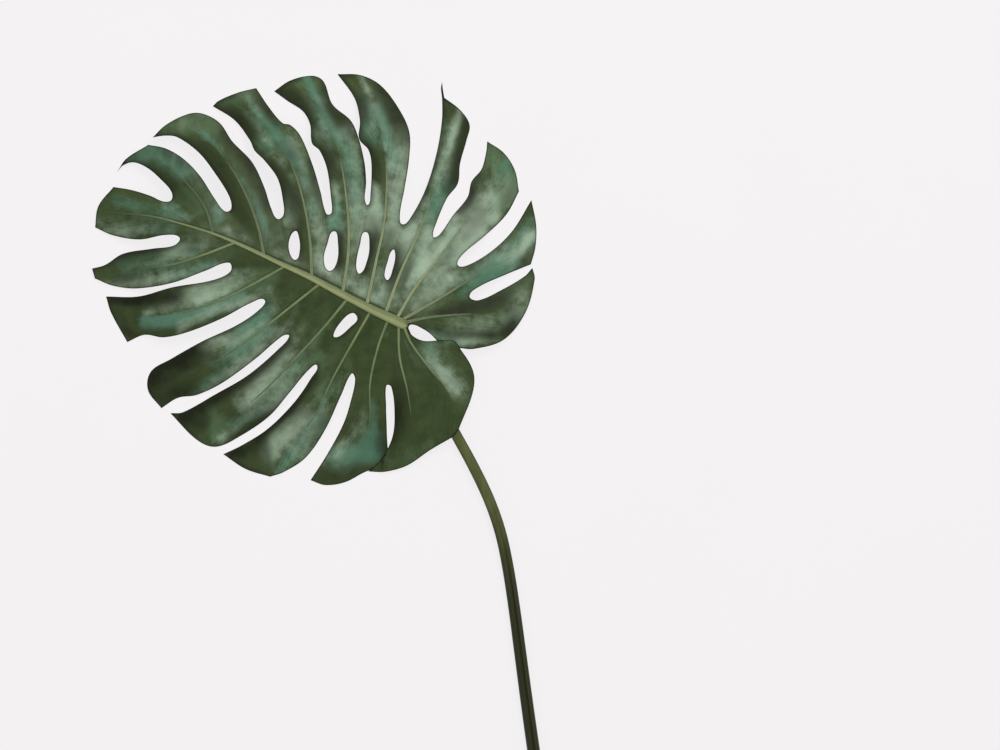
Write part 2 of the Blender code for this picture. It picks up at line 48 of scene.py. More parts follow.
# One socket of a material's tree, so that the recipes can write shader maths as plain expressions
class Wire:
    def __init__(self, recipe, socket):
        self.recipe, self.socket = recipe, socket

    def maths(self, operation, *others, **settings):
        return self.recipe.node("ShaderNodeMath", {"operation": operation, **settings}, [self, *others])

    def __add__(self, other):
        return self.maths("ADD", other)

    def __sub__(self, other):
        return self.maths("SUBTRACT", other)

    def __rsub__(self, other):
        return self * -1.0 + other

    def __mul__(self, other):
        return self.maths("MULTIPLY", other)

    def __abs__(self):
        return self.maths("ABSOLUTE")

    def clamped(self):
        return self.maths("ADD", 0.0, use_clamp=True)

    __radd__, __rmul__ = __add__, __mul__


# One procedural material, built node by node
class Recipe:
    def __init__(self, name):
        self.material = bpy.data.materials.new(name)
        self.material.use_nodes = True
        self.tree = self.material.node_tree
        self.shader = self.tree.nodes["Principled BSDF"]

    def give(self, socket, value):
        if isinstance(value, Wire):
            self.tree.links.new(value.socket, socket)
        else:
            socket.default_value = value

    # values: numbers and wires, by the place or by the name of the node's inputs
    def node(self, kind, settings, values=(), out=0):
        made = self.tree.nodes.new(kind)
        for key, value in settings.items():
            setattr(made, key, value)
        for key, value in values.items() if isinstance(values, dict) else enumerate(values):
            self.give(made.inputs[key], value)
        return Wire(self, made.outputs[out])

    def attribute(self, name, out="Fac"):
        return self.node("ShaderNodeAttribute", {"attribute_name": name}, out=out)

    def place(self):
        return self.node("ShaderNodeTexCoord", {}, out="Object")

    def stretched(self, vector, scale):
        return self.node("ShaderNodeVectorMath", {"operation": "MULTIPLY"}, [vector, scale])

    def noise(self, vector, scale, detail=4.0, roughness=0.55):
        values = {"Vector": vector, "Scale": scale, "Detail": detail, "Roughness": roughness}
        return self.node("ShaderNodeTexNoise", {"noise_dimensions": "3D"}, values, out="Fac")

    def rise(self, value, low, high):
        values = {"Value": value, "From Min": low, "From Max": high, "To Min": 0.0, "To Max": 1.0}
        return self.node("ShaderNodeMapRange", {"interpolation_type": "SMOOTHSTEP"}, values)

    def blend(self, share, first, second):
        values = {0: share, 6: colourOf(first), 7: colourOf(second)}
        return self.node("ShaderNodeMix", {"data_type": "RGBA"}, values, out=2)

    # washes: for each, how much of it covers what lies under it, and its colour
    def washed(self, colour, *washes):
        for share, wash in washes:
            colour = self.blend(share, colour, wash)
        return colour

    def bump(self, height, strength, distance):
        values = {"Height": height, "Strength": strength, "Distance": distance}
        return self.node("ShaderNodeBump", {}, values, out="Normal")

    def feed(self, **inputs):
        for name, value in inputs.items():
            self.give(self.shader.inputs[socketNames[name]], value)
        return self.material


socketNames = {"colour": "Base Color", "roughness": "Roughness", "normal": "Normal", "coat": "Coat Weight",
               "coatRoughness": "Coat Roughness", "specular": "Specular IOR Level",
               "emission": "Emission Color", "emissionStrength": "Emission Strength"}


# A wire as it is, or an sRGB colour of 0 to 255 as linear
def colourOf(value):
    if isinstance(value, Wire):
        return value
    linear = [(c / 255 / 12.92) if c <= 10 else ((c / 255 + 0.055) / 1.055) ** 2.4 for c in value]
    return (*linear, 1)


# The blade's flat shape: one dictionary for its sizes, then its edge, holes and veins on the sheet
bladePlan = {
    "thickness": 0.9,
    "edgeThickness": 0.6,
    "edgeReach": 5.0,
    "leastThickness": 0.4,
    "steepest": 0.45,                # least share of a normal that points up, for the thickness
    "edgeStep": 1.8,
    "edgeSampling": 0.3,
    "latticeSpacing": 2.5,
    "latticeGap": 0.7,
    "veinStep": 2.5,
    "veinRows": (1.5, 0.7),          # how far the rows of points lie beside a vein, root and tip
    "leastSpacing": 0.9,
    "veinLineStep": 9.0,
    "petioleLineStep": 17.0,
    "midribHeights": [(0.0, 27.0), (0.15, 33.0), (0.4, 37.0), (0.65, 32.0), (0.85, 19.0), (1.0, 7.0)],
    "fold": (9.0, 48.0),             # fall beside the midrib, over this reach
    "droop": (32.0, 205.0, 2.3),     # fall to the tips, at this distance, and its power
    "coreShare": 0.72,               # the stretch of the midrib that holds the fingers together
    "pleat": 0.09,
    "pleatStart": (4.0, 26.0),
    "curlReach": 14.0,
    "free": (55.0, 95.0),            # from the midrib: where fingers start to move on their own
    "parted": (82.0, 112.0),
    "tipRise": (0.6, 1.0),
    "restingBand": 4.0,
    "drape": (4.0, 26.0),            # rise over the petiole, over this reach
    "drapeStart": (20.0, 70.0),
    "hub": (400.0, 323.0),
    "padRadius": 10.5,
    "padFade": (0.75, 1.35),
    "padThickness": 8.0,
    "ribHalfWidths": [(0.0, 5.5), (0.08, 4.7), (0.16, 4.0), (0.25, 3.6), (0.35, 3.0), (0.45, 2.2),
                      (0.55, 1.9), (0.65, 1.3), (0.78, 0.9), (1.0, 0.5)],
    "nerveSlant": 14.0,              # degrees between the fine nerves and their vein
    "nerveShift": 7.0,               # keeps one finger's nerves apart from the next one's
    "shadingBesideRib": (4.0, 24.0),
    # how often the fields are evened out: everywhere, beside the midrib and for the shade
    "evening": (2, 16, 4),
    # the half of a finger whose margin turns down into shade: 1 left of its vein, -1 right of it
    "darkSide": {"upper1": 1, "upper2": 1, "upper3": 1, "upper4": 1, "upper5": 1, "upper6": 1,
                 "lower1": -1, "lower2": -1, "lower3": -1, "lower4": -1, "lower5": -1},
}

# Clockwise from the tip lobe: each stretch is a smooth curve up to the next one's first point, a corner
edgeRuns = [
    [(112.5, 186.5), (131, 189.7), (150, 195.6), (163, 201.3), (171, 200), (171, 191.5), (160, 178.8),
     (147, 167.8), (133, 162), (122, 165)],
    [(116, 172), (125, 158.5)],
    [(147.5, 144.3), (165, 148), (183, 158.5), (200, 176), (215, 199), (225, 211.3), (231.2, 209),
     (229, 196), (214, 172), (198, 152), (177, 137), (165, 135.3)],
    [(152, 137), (166, 124), (188, 113.2), (202, 113), (219, 122.3), (232, 141), (252, 162), (264, 186.5),
     (271.5, 209), (277.5, 219), (283.5, 215), (283, 201), (277.5, 178.5), (264, 160), (254.5, 150.5),
     (249.5, 140), (234, 119.7)],
    [(212, 105.5), (218, 100), (238, 91.7)],
    [(255.5, 87.3), (268, 106), (282, 122.5), (290, 124.6), (300, 135.2), (312, 163.5), (320.3, 191),
     (326.5, 214), (331.5, 213), (331, 198), (326.8, 168.5), (319.5, 150.5), (311.8, 143), (309.7, 124),
     (302.5, 110.8), (287, 100.3)],
    [(273.5, 90.5), (290, 79.6), (312, 75), (323, 80.5), (332, 103.5), (350, 119.5), (357, 133.5),
     (364, 160.5), (366, 182), (364.8, 199), (368, 205), (370.4, 194), (371.3, 165), (368.5, 150),
     (361, 139), (359.4, 118), (354, 97.3)],
    [(337, 73.3), (360, 74.3), (380, 84.3), (398, 107), (409, 131), (409, 157), (404.5, 188), (399.8, 215),
     (402.5, 224.3), (411.5, 216), (426, 187.5), (436.5, 152.5), (441.7, 120), (441.9, 98), (440.8, 87.5)],
    [(441.9, 81), (442.8, 89)],
    [(444.2, 97), (460, 109.2), (469.5, 124), (466.5, 139.5), (460, 163), (457.7, 183), (447, 197.5),
     (437, 220.5), (433, 236.5), (439, 235), (453, 215), (467.5, 196.5), (471.5, 181), (481.5, 168.5),
     (486.2, 151)],
    [(487.2, 140.7), (504, 152.5), (515, 170)],
    [(519, 191), (506.5, 214), (484, 236.3), (463, 254), (457.5, 264.5), (466, 265.7), (490, 252),
     (512, 231)],
    [(531.5, 199.5), (536.3, 225), (535.5, 247)],
    [(531, 264), (506, 274.3), (479, 286.7), (469.5, 296), (478, 300.2), (503, 289), (525, 275.7)],
    [(532.5, 267.5), (534.8, 279), (525.5, 312.5), (504, 339.5), (474, 348.8), (461.5, 346.5), (452, 339.2)],
    [(437.5, 338.6), (424, 329.5), (410.3, 324.8), (409.6, 332.6), (423, 340.7), (447, 340.8), (461, 350.5),
     (473.5, 372.5), (472.5, 393.5)],
    [(459, 428.5)],
    [(452, 437.5), (430, 450.3), (407, 465.7), (385, 472)],
    [(368, 471.8), (382.5, 457), (392.5, 436), (394.3, 410), (391, 386.5), (386.3, 385.5), (386, 407),
     (385.8, 438), (379, 456)],
    [(366.3, 470), (346, 482), (325, 485.4)],
    [(310, 480.5), (327, 454), (343.5, 423), (351, 399.5), (355, 379), (351.5, 373.6), (341.5, 394),
     (325, 429.5), (305, 458), (283, 472.4)],
    [(269.5, 477), (245, 469.3)],
    [(222.5, 454.4), (241, 445.5), (267, 429), (294, 402.3), (311, 378), (317, 365.5), (308, 370.5),
     (289, 393), (269, 416), (240, 436), (215, 447), (196, 440)],
    [(169.5, 413.3), (182, 412.3), (214, 394.7), (248, 375), (279, 348.5), (289.3, 336), (283, 335.7),
     (255, 359), (222, 382.8), (196, 395), (177, 398)],
    [(160.5, 408.3), (147, 390), (150, 371.5), (170, 359), (202, 341.3), (237, 325), (259, 310),
     (264.7, 300), (252, 302.5), (222, 318.3), (187, 332.2), (163, 337.3), (143.5, 334.8)],
    [(126.3, 342), (110, 312.5)],
    [(105, 296.3), (138, 296.2), (172, 287.2), (212, 280.3), (230.5, 271.5), (229, 262.7), (205, 271),
     (172, 282.8), (136, 288.3), (112, 285.5)],
    [(94, 278.3)],
    [(91, 268.3), (104, 264.7), (122, 253.6), (152, 248.5), (174, 245.3), (179.5, 237.5), (165, 235),
     (139, 239.3), (112, 235)],
    [(94, 227), (97.5, 205.5)],
]

holeLoops = [
    [(295.5, 231), (289.5, 240), (290, 253), (296, 260), (300, 250), (299, 237)],
    [(334, 231.3), (327.5, 244), (324, 260), (329.5, 271), (337, 262), (338, 243)],
    [(365.5, 232), (360, 245), (356.3, 266), (360, 273.6), (367, 261), (369.4, 245)],
    [(393, 249.5), (387.5, 262), (384.6, 276), (388, 280), (393, 268), (395.2, 256)],
    [(352.5, 313), (341, 322), (333.4, 336), (339, 336.5), (351, 326.5), (357.5, 319)],
]

# Each vein leads one finger. ripple is height, length and phase of its waves; left and right are how that
# half slopes from the vein and how it curls, as seen from the midrib; tip is how far the end rises.
midribPath = [(404, 324.5), (372, 308.5), (340, 292), (308, 275), (280, 262.5), (248, 248), (215, 234.3),
              (180, 223.3), (150, 216), (94, 211)]
veins = {
    "tip": {"path": midribPath, "ripple": (1.5, 90, 0.0), "left": (-0.05, -0.10), "right": (-0.05, -0.08),
            "tip": -3},
    "upper1": {"path": [(213, 233), (207, 212), (196, 194), (178, 175), (160, 161), (143, 155), (128, 158)],
               "ripple": (2.0, 75, 0.3), "left": (-0.16, -0.04), "right": (-0.03, -0.12), "tip": -4},
    "upper2": {"path": [(264, 254.5), (258.5, 228), (247, 197), (231, 168), (208, 142), (160, 130)],
               "ripple": (2.0, 80, 0.1), "left": (-0.20, -0.04), "right": (-0.04, -0.14), "tip": 2},
    "upper3": {"path": [(312, 276), (310, 240), (303, 200), (290, 162), (268, 130), (236, 95)],
               "ripple": (4.5, 78, 0.55), "left": (-0.18, -0.03), "right": (-0.05, -0.14), "tip": -6},
    "upper4": {"path": [(343, 292), (348.5, 250), (347, 205), (338, 152), (319, 107), (300, 77)],
               "ripple": (4.5, 82, 0.3), "left": (-0.18, -0.03), "right": (-0.05, -0.14), "tip": -4},
    "upper5": {"path": [(367, 304), (376, 262), (385, 215), (385, 155), (371, 103), (354, 75)],
               "ripple": (3.0, 90, 0.1), "left": (-0.16, -0.03), "right": (-0.06, -0.12), "tip": 3},
    "upper6": {"path": [(385, 313), (400, 272), (418, 232), (438, 176), (451, 130), (452, 104)],
               "ripple": (2.0, 95, 0.6), "left": (0.02, -0.04), "right": (-0.22, -0.16), "tip": 6},
    "upper7": {"path": [(397, 318), (415, 288), (440, 256), (468, 218), (492, 184), (503, 155)],
               "ripple": (3.5, 100, 0.2), "left": (-0.06, -0.05), "right": (0.0, -0.06), "tip": 0},
    "upper8": {"path": [(402, 320), (418, 311), (442, 297), (470, 279), (505, 253), (533, 222)],
               "ripple": (2.0, 90, 0.5), "left": (-0.02, -0.06), "right": (-0.06, -0.10), "tip": -4},
    "upper9": {"path": [(405, 322.5), (430, 317.3), (458, 314.5), (490, 313), (526, 303)],
               "ripple": (1.5, 90, 0.3), "left": (-0.06, -0.02), "right": (-0.02, -0.07), "tip": -2},
    "lower8": {"path": [(404, 327), (411, 343), (430, 369), (449, 394), (456, 430)],
               "ripple": (0.0, 90, 0.0), "left": (-0.10, -0.10), "right": (-0.02, 0.0), "tip": 0},
    "lower7": {"path": [(398, 325), (399, 357), (407, 392), (411, 425), (409, 464)],
               "ripple": (0.0, 90, 0.0), "left": (0.0, 0.0), "right": (-0.02, -0.02), "tip": 0},
    "lower6": {"path": [(388, 320), (378, 347), (370, 383), (368.5, 425), (345, 482)],
               "ripple": (2.0, 90, 0.2), "left": (-0.10, -0.06), "right": (-0.02, -0.08), "tip": -4},
    "lower5": {"path": [(370, 311), (351, 344), (332, 378), (314, 415), (266, 475)],
               "ripple": (2.0, 95, 0.1), "left": (-0.10, -0.10), "right": (-0.04, -0.08), "tip": -5},
    "lower4": {"path": [(346, 299), (320, 330), (293, 359), (258, 394), (198, 437)],
               "ripple": (2.0, 95, 0.0), "left": (-0.10, -0.12), "right": (-0.04, -0.09), "tip": -6},
    "lower3": {"path": [(318, 284), (290, 306), (262, 328), (222, 356), (152, 392)],
               "ripple": (2.0, 95, 0.0), "left": (-0.10, -0.12), "right": (-0.04, -0.09), "tip": -4},
    "lower2": {"path": [(284, 266), (258, 280.5), (225, 297), (180, 312), (114, 321)],
               "ripple": (2.5, 95, 0.9), "left": (-0.08, -0.12), "right": (-0.02, -0.12), "tip": -2},
    "lower1": {"path": [(235, 243), (205, 254.5), (170, 265), (130, 269), (92, 273)],
               "ripple": (1.5, 80, 0.2), "left": (-0.06, -0.10), "right": (-0.04, -0.10), "tip": 3},
}

# Where one finger laps over its neighbour: the line between the two, which side of it moves, round which
# point, how far off, by how much (right, down), and the lift
slitLine = [(388.5, 386), (390, 409), (389, 437), (380.8, 456.5), (367.1, 470.9), (355, 484)]
notchLine = [(410, 329), (424, 335), (437.5, 339.7), (447, 339.9), (452.5, 341.3), (461.3, 348.5),
             (475, 358)]
laps = [
    (slitLine, "right", (378, 458), 15.0, (8.0, 3.0), -5.0),
    (slitLine, "left", (384, 452), 22.0, (0.0, 0.0), 2.5),
    (notchLine, "left", (449, 341), 13.0, (-1.0, 5.0), -4.0),
    (notchLine, "right", (453, 345), 7.0, (1.0, -3.0), 0.5),
    (notchLine, "right", (447, 346), 22.0, (0.0, 0.0), 3.0),
    ([(347, 100), (357, 121), (359.5, 137), (364, 160)], "left", (361, 137), 9.0, (-2.0, 0.0), -4.0),
]

petiolePath = [(400.5, 325), (402.5, 331), (409, 344), (422, 371), (438, 402), (455.5, 434), (474, 468),
               (489.5, 501), (500.5, 533), (508, 568), (514.5, 610), (520.5, 655), (526.5, 700),
               (533.5, 750), (542, 806)]


def fromSheet(points):
    return (np.asarray(points, float) - sheetOrigin) * (1, -1)


def smoothRise(low, high, values):
    share = np.clip((values - low) / (high - low), 0, 1)
    return share * share * (3 - 2 * share)


# A smooth curve through the points, about one step apart, without its last point
def curveThrough(points, step, closed=False):
    count = len(points)
    corners = [Vector(p) for p in points]
    tangents = []
    for i, corner in enumerate(corners):
        before = corners[(i - 1) % count] if closed or i > 0 else corner
        after = corners[(i + 1) % count] if closed or i < count - 1 else corner
        tangents.append((after - before).normalized())
    path = []
    for i in range(count if closed else count - 1):
        start, end = corners[i], corners[(i + 1) % count]
        reach = (end - start).length / 3
        pieces = max(1, round(3 * reach / step))
        path += interpolate_bezier(start, start + tangents[i] * reach,
                                   end - tangents[(i + 1) % count] * reach, end, pieces + 1)[:-1]
    return np.array([point[:2] for point in path])


def openCurve(points, step):
    return np.vstack([curveThrough(points, step), points[-1]])


def veinPath(name, step):
    return openCurve(fromSheet(veins[name]["path"]), step)


def distancesAlong(path):
    return np.concatenate([[0], np.cumsum(np.linalg.norm(np.diff(path, axis=0), axis=1))])


# Distance to a path, how far along it that is, and the side: 1 left, -1 right
def measureToPath(points, path):
    best = np.full(len(points), np.inf)
    along, side = np.zeros(len(points)), np.ones(len(points))
    done = 0.0
    for start, end in zip(path[:-1], path[1:]):
        run = end - start
        length = math.hypot(*run)
        share = np.clip((points - start) @ run / length**2, 0, 1)
        offset = points - start - share[:, None] * run
        distance = np.hypot(offset[:, 0], offset[:, 1])
        nearer = distance < best
        best = np.where(nearer, distance, best)
        along = np.where(nearer, done + share * length, along)
        turn = run[0] * offset[:, 1] - run[1] * offset[:, 0]
        side = np.where(nearer, np.where(turn >= 0, 1.0, -1.0), side)
        done += length
    return best, along, side


def pathLength(path):
    return float(distancesAlong(path)[-1])


def inside(points, loop):
    order = np.argsort(points[:, 1])        # each edge of the loop only meets the points beside it
    x, y = points[order].T
    odd = np.zeros(len(points), bool)
    for (x1, y1), (x2, y2) in zip(loop, np.roll(loop, -1, axis=0)):
        if y1 != y2:
            first, last = np.searchsorted(y, sorted((y1, y2)))
            odd[first:last] ^= x[first:last] < x1 + (x2 - x1) * (y[first:last] - y1) / (y2 - y1)
    found = np.empty(len(points), bool)
    found[order] = odd
    return found


# Inside the outline, which is the first loop, and outside the holes
def onBlade(points, loops):
    kept = inside(points, loops[0])
    for hole in loops[1:]:
        kept &= ~inside(points, hole)
    return kept


def distanceToPoints(points, others):
    tree = KDTree(len(others))
    for i, (x, y) in enumerate(others):
        tree.insert((x, y, 0), i)
    tree.balance()
    return np.array([tree.find((x, y, 0))[2] for x, y in points])


def distanceToEdges(points, loops):
    spots = []
    for loop in loops:
        for start, end in zip(loop, np.roll(loop, -1, axis=0)):
            pieces = max(1, round(math.hypot(*(end - start)) / bladePlan["edgeSampling"]))
            spots += [start + share * (end - start) for share in np.arange(pieces) / pieces]
    return distanceToPoints(points, spots)


veinNames = list(veins)
veinLines = {name: veinPath(name, bladePlan["veinLineStep"]) for name in veinNames}
veinLengths = np.array([pathLength(veinLines[name]) for name in veinNames])
petioleLine = openCurve(fromSheet(petiolePath), bladePlan["petioleLineStep"])


# Where each point lies on the leaf: its height, its vein and its place beside it
def leafFields(points):
    plan = bladePlan
    distance, along, side = (np.array(part) for part in
                             zip(*[measureToPath(points, veinLines[name]) for name in veinNames]))
    order = np.argsort(distance, axis=0)
    columns = np.arange(len(points))
    first, second = order[0], order[1]
    near = distance[first, columns]
    spacing = near + distance[second, columns] + 1e-6
    across = near / spacing
    ownSide, ownAlong = side[first, columns], along[first, columns]

    # The arch over the midrib and the fall to the tips
    ribShare = along[0] / veinLengths[0]
    fromRib = distance[0]
    height = np.interp(ribShare, *zip(*plan["midribHeights"]))
    fall, reach = plan["fold"]
    height -= fall * (1 - np.exp(-fromRib / reach))
    fall, reach, power = plan["droop"]
    height -= fall * (fromRib / reach) ** power

    # Joined veins run on low ridges; a parted finger's halves follow its own section
    core = veinLines["tip"][: int(plan["coreShare"] * len(veinLines["tip"]))]
    fromCore = measureToPath(points, core)[0]
    free, parted = smoothRise(*plan["free"], fromCore), smoothRise(*plan["parted"], fromCore)
    joined = -plan["pleat"] * spacing * np.sin(math.pi * across) ** 2
    joined *= smoothRise(*plan["pleatStart"], fromRib)
    slope, curl = (np.array([[veins[name][half][part] for name in veinNames] for half in ("right", "left")])
                   for part in (0, 1))
    half = (ownSide > 0).astype(int)
    section = slope[half, first] * near + curl[half, first] * near * near / plan["curlReach"]
    height += joined * (1 - parted) + section * parted

    # Ripples and tips, shared with the neighbour where the two still join
    own = np.zeros((len(veinNames), len(points)))
    for i, name in enumerate(veinNames):
        rippleHeight, rippleLength, phase = veins[name]["ripple"]
        ripple = rippleHeight * np.sin(2 * math.pi * (along[i] / rippleLength + phase))
        tipRise = veins[name]["tip"] * smoothRise(*plan["tipRise"], along[i] / veinLengths[i])
        own[i] = free * ripple * (0.4 + 1.2 * across * parted) + parted * tipRise
    shared = across * (1 - parted)
    height += own[first, columns] * (1 - shared) + own[second, columns] * shared

    # The lower base lobe drapes over the petiole
    rise, reach = plan["drape"]
    fromPetiole = measureToPath(points, petioleLine)[0]
    height += rise * np.exp(-((fromPetiole / reach) ** 2)) * smoothRise(*plan["drapeStart"], fromCore)

    # Laps between neighbours
    shift = np.zeros((len(points), 2))
    for line, moved, centre, reach, (right, down), up in laps:
        owned = (measureToPath(points, fromSheet(line))[2] > 0) == (moved == "left")
        pull = owned * np.exp(-((np.hypot(*(points - fromSheet(centre)).T) / reach) ** 2))
        shift += pull[:, None] * (right, -down)
        height += pull * up

    band, thickness = plan["restingBand"], plan["thickness"]
    raised = height - thickness
    resting = np.where(raised > band, raised, np.where(raised < -band, 0, (raised + band) ** 2 / (4 * band)))
    return {"height": resting + thickness, "shift": shift, "vein": first, "near": near, "side": ownSide,
            "along": ownAlong, "veinShare": ownAlong / veinLengths[first], "fromRib": fromRib,
            "ribShare": ribShare, "ribSide": side[0]}


def ribHalfWidth(share):
    return np.interp(share, *zip(*bladePlan["ribHalfWidths"]))


# The path moved sideways, to its left, by one distance or by one for each point
def beside(path, offset):
    direction = np.gradient(path, axis=0)
    direction /= np.hypot(*direction.T)[:, None]
    return path + offset * np.stack([-direction[:, 1], direction[:, 0]], axis=1)


# Points for the blade's triangles: rows along the veins, then a lattice
def bladePoints(loops):
    plan, rows = bladePlan, []
    for name in veinNames:
        path = veinPath(name, plan["veinStep"])
        share = np.linspace(0, 1, len(path))[:, None]
        width = ribHalfWidth(share) if name == "tip" else np.interp(share, (0, 1), plan["veinRows"])
        rows += [beside(path, part * width)[1:-1] for part in (0, -1, 1)]
    taken = rows[0]
    for row in rows[1:]:
        apart = np.array([np.hypot(*(taken - point).T).min() > plan["leastSpacing"] for point in row])
        taken = np.vstack([taken, row[apart]])
    low, high = loops[0].min(axis=0), loops[0].max(axis=0)
    spacing = plan["latticeSpacing"]
    rowStep = spacing * math.sqrt(3) / 2
    lattice = np.array([(low[0] + (x + 0.5 * (line % 2)) * spacing, low[1] + line * rowStep)
                        for line in range(int((high[1] - low[1]) / rowStep) + 1)
                        for x in range(int((high[0] - low[0]) / spacing) + 1)])
    lattice = lattice[inside(lattice, loops[0])]
    spots = np.vstack([taken, lattice[distanceToPoints(lattice, taken) > plan["latticeGap"] * spacing]])
    spots = spots[onBlade(spots, loops)]
    return spots[distanceToEdges(spots, loops) > plan["leastSpacing"]]


def trianglesBetween(loops, spots):
    points = np.vstack([*loops, spots])
    edges, start = [], 0
    for loop in loops:
        edges += [(start + i, start + (i + 1) % len(loop)) for i in range(len(loop))]
        start += len(loop)
    made = delaunay_2d_cdt([Vector(p) for p in points], edges, [], 0, 1e-6)
    points = np.array([tuple(p) for p in made[0]])
    triangles = np.array([tuple(face) for face in made[2]])
    return points, triangles[onBlade(points[triangles].mean(axis=1), loops)]
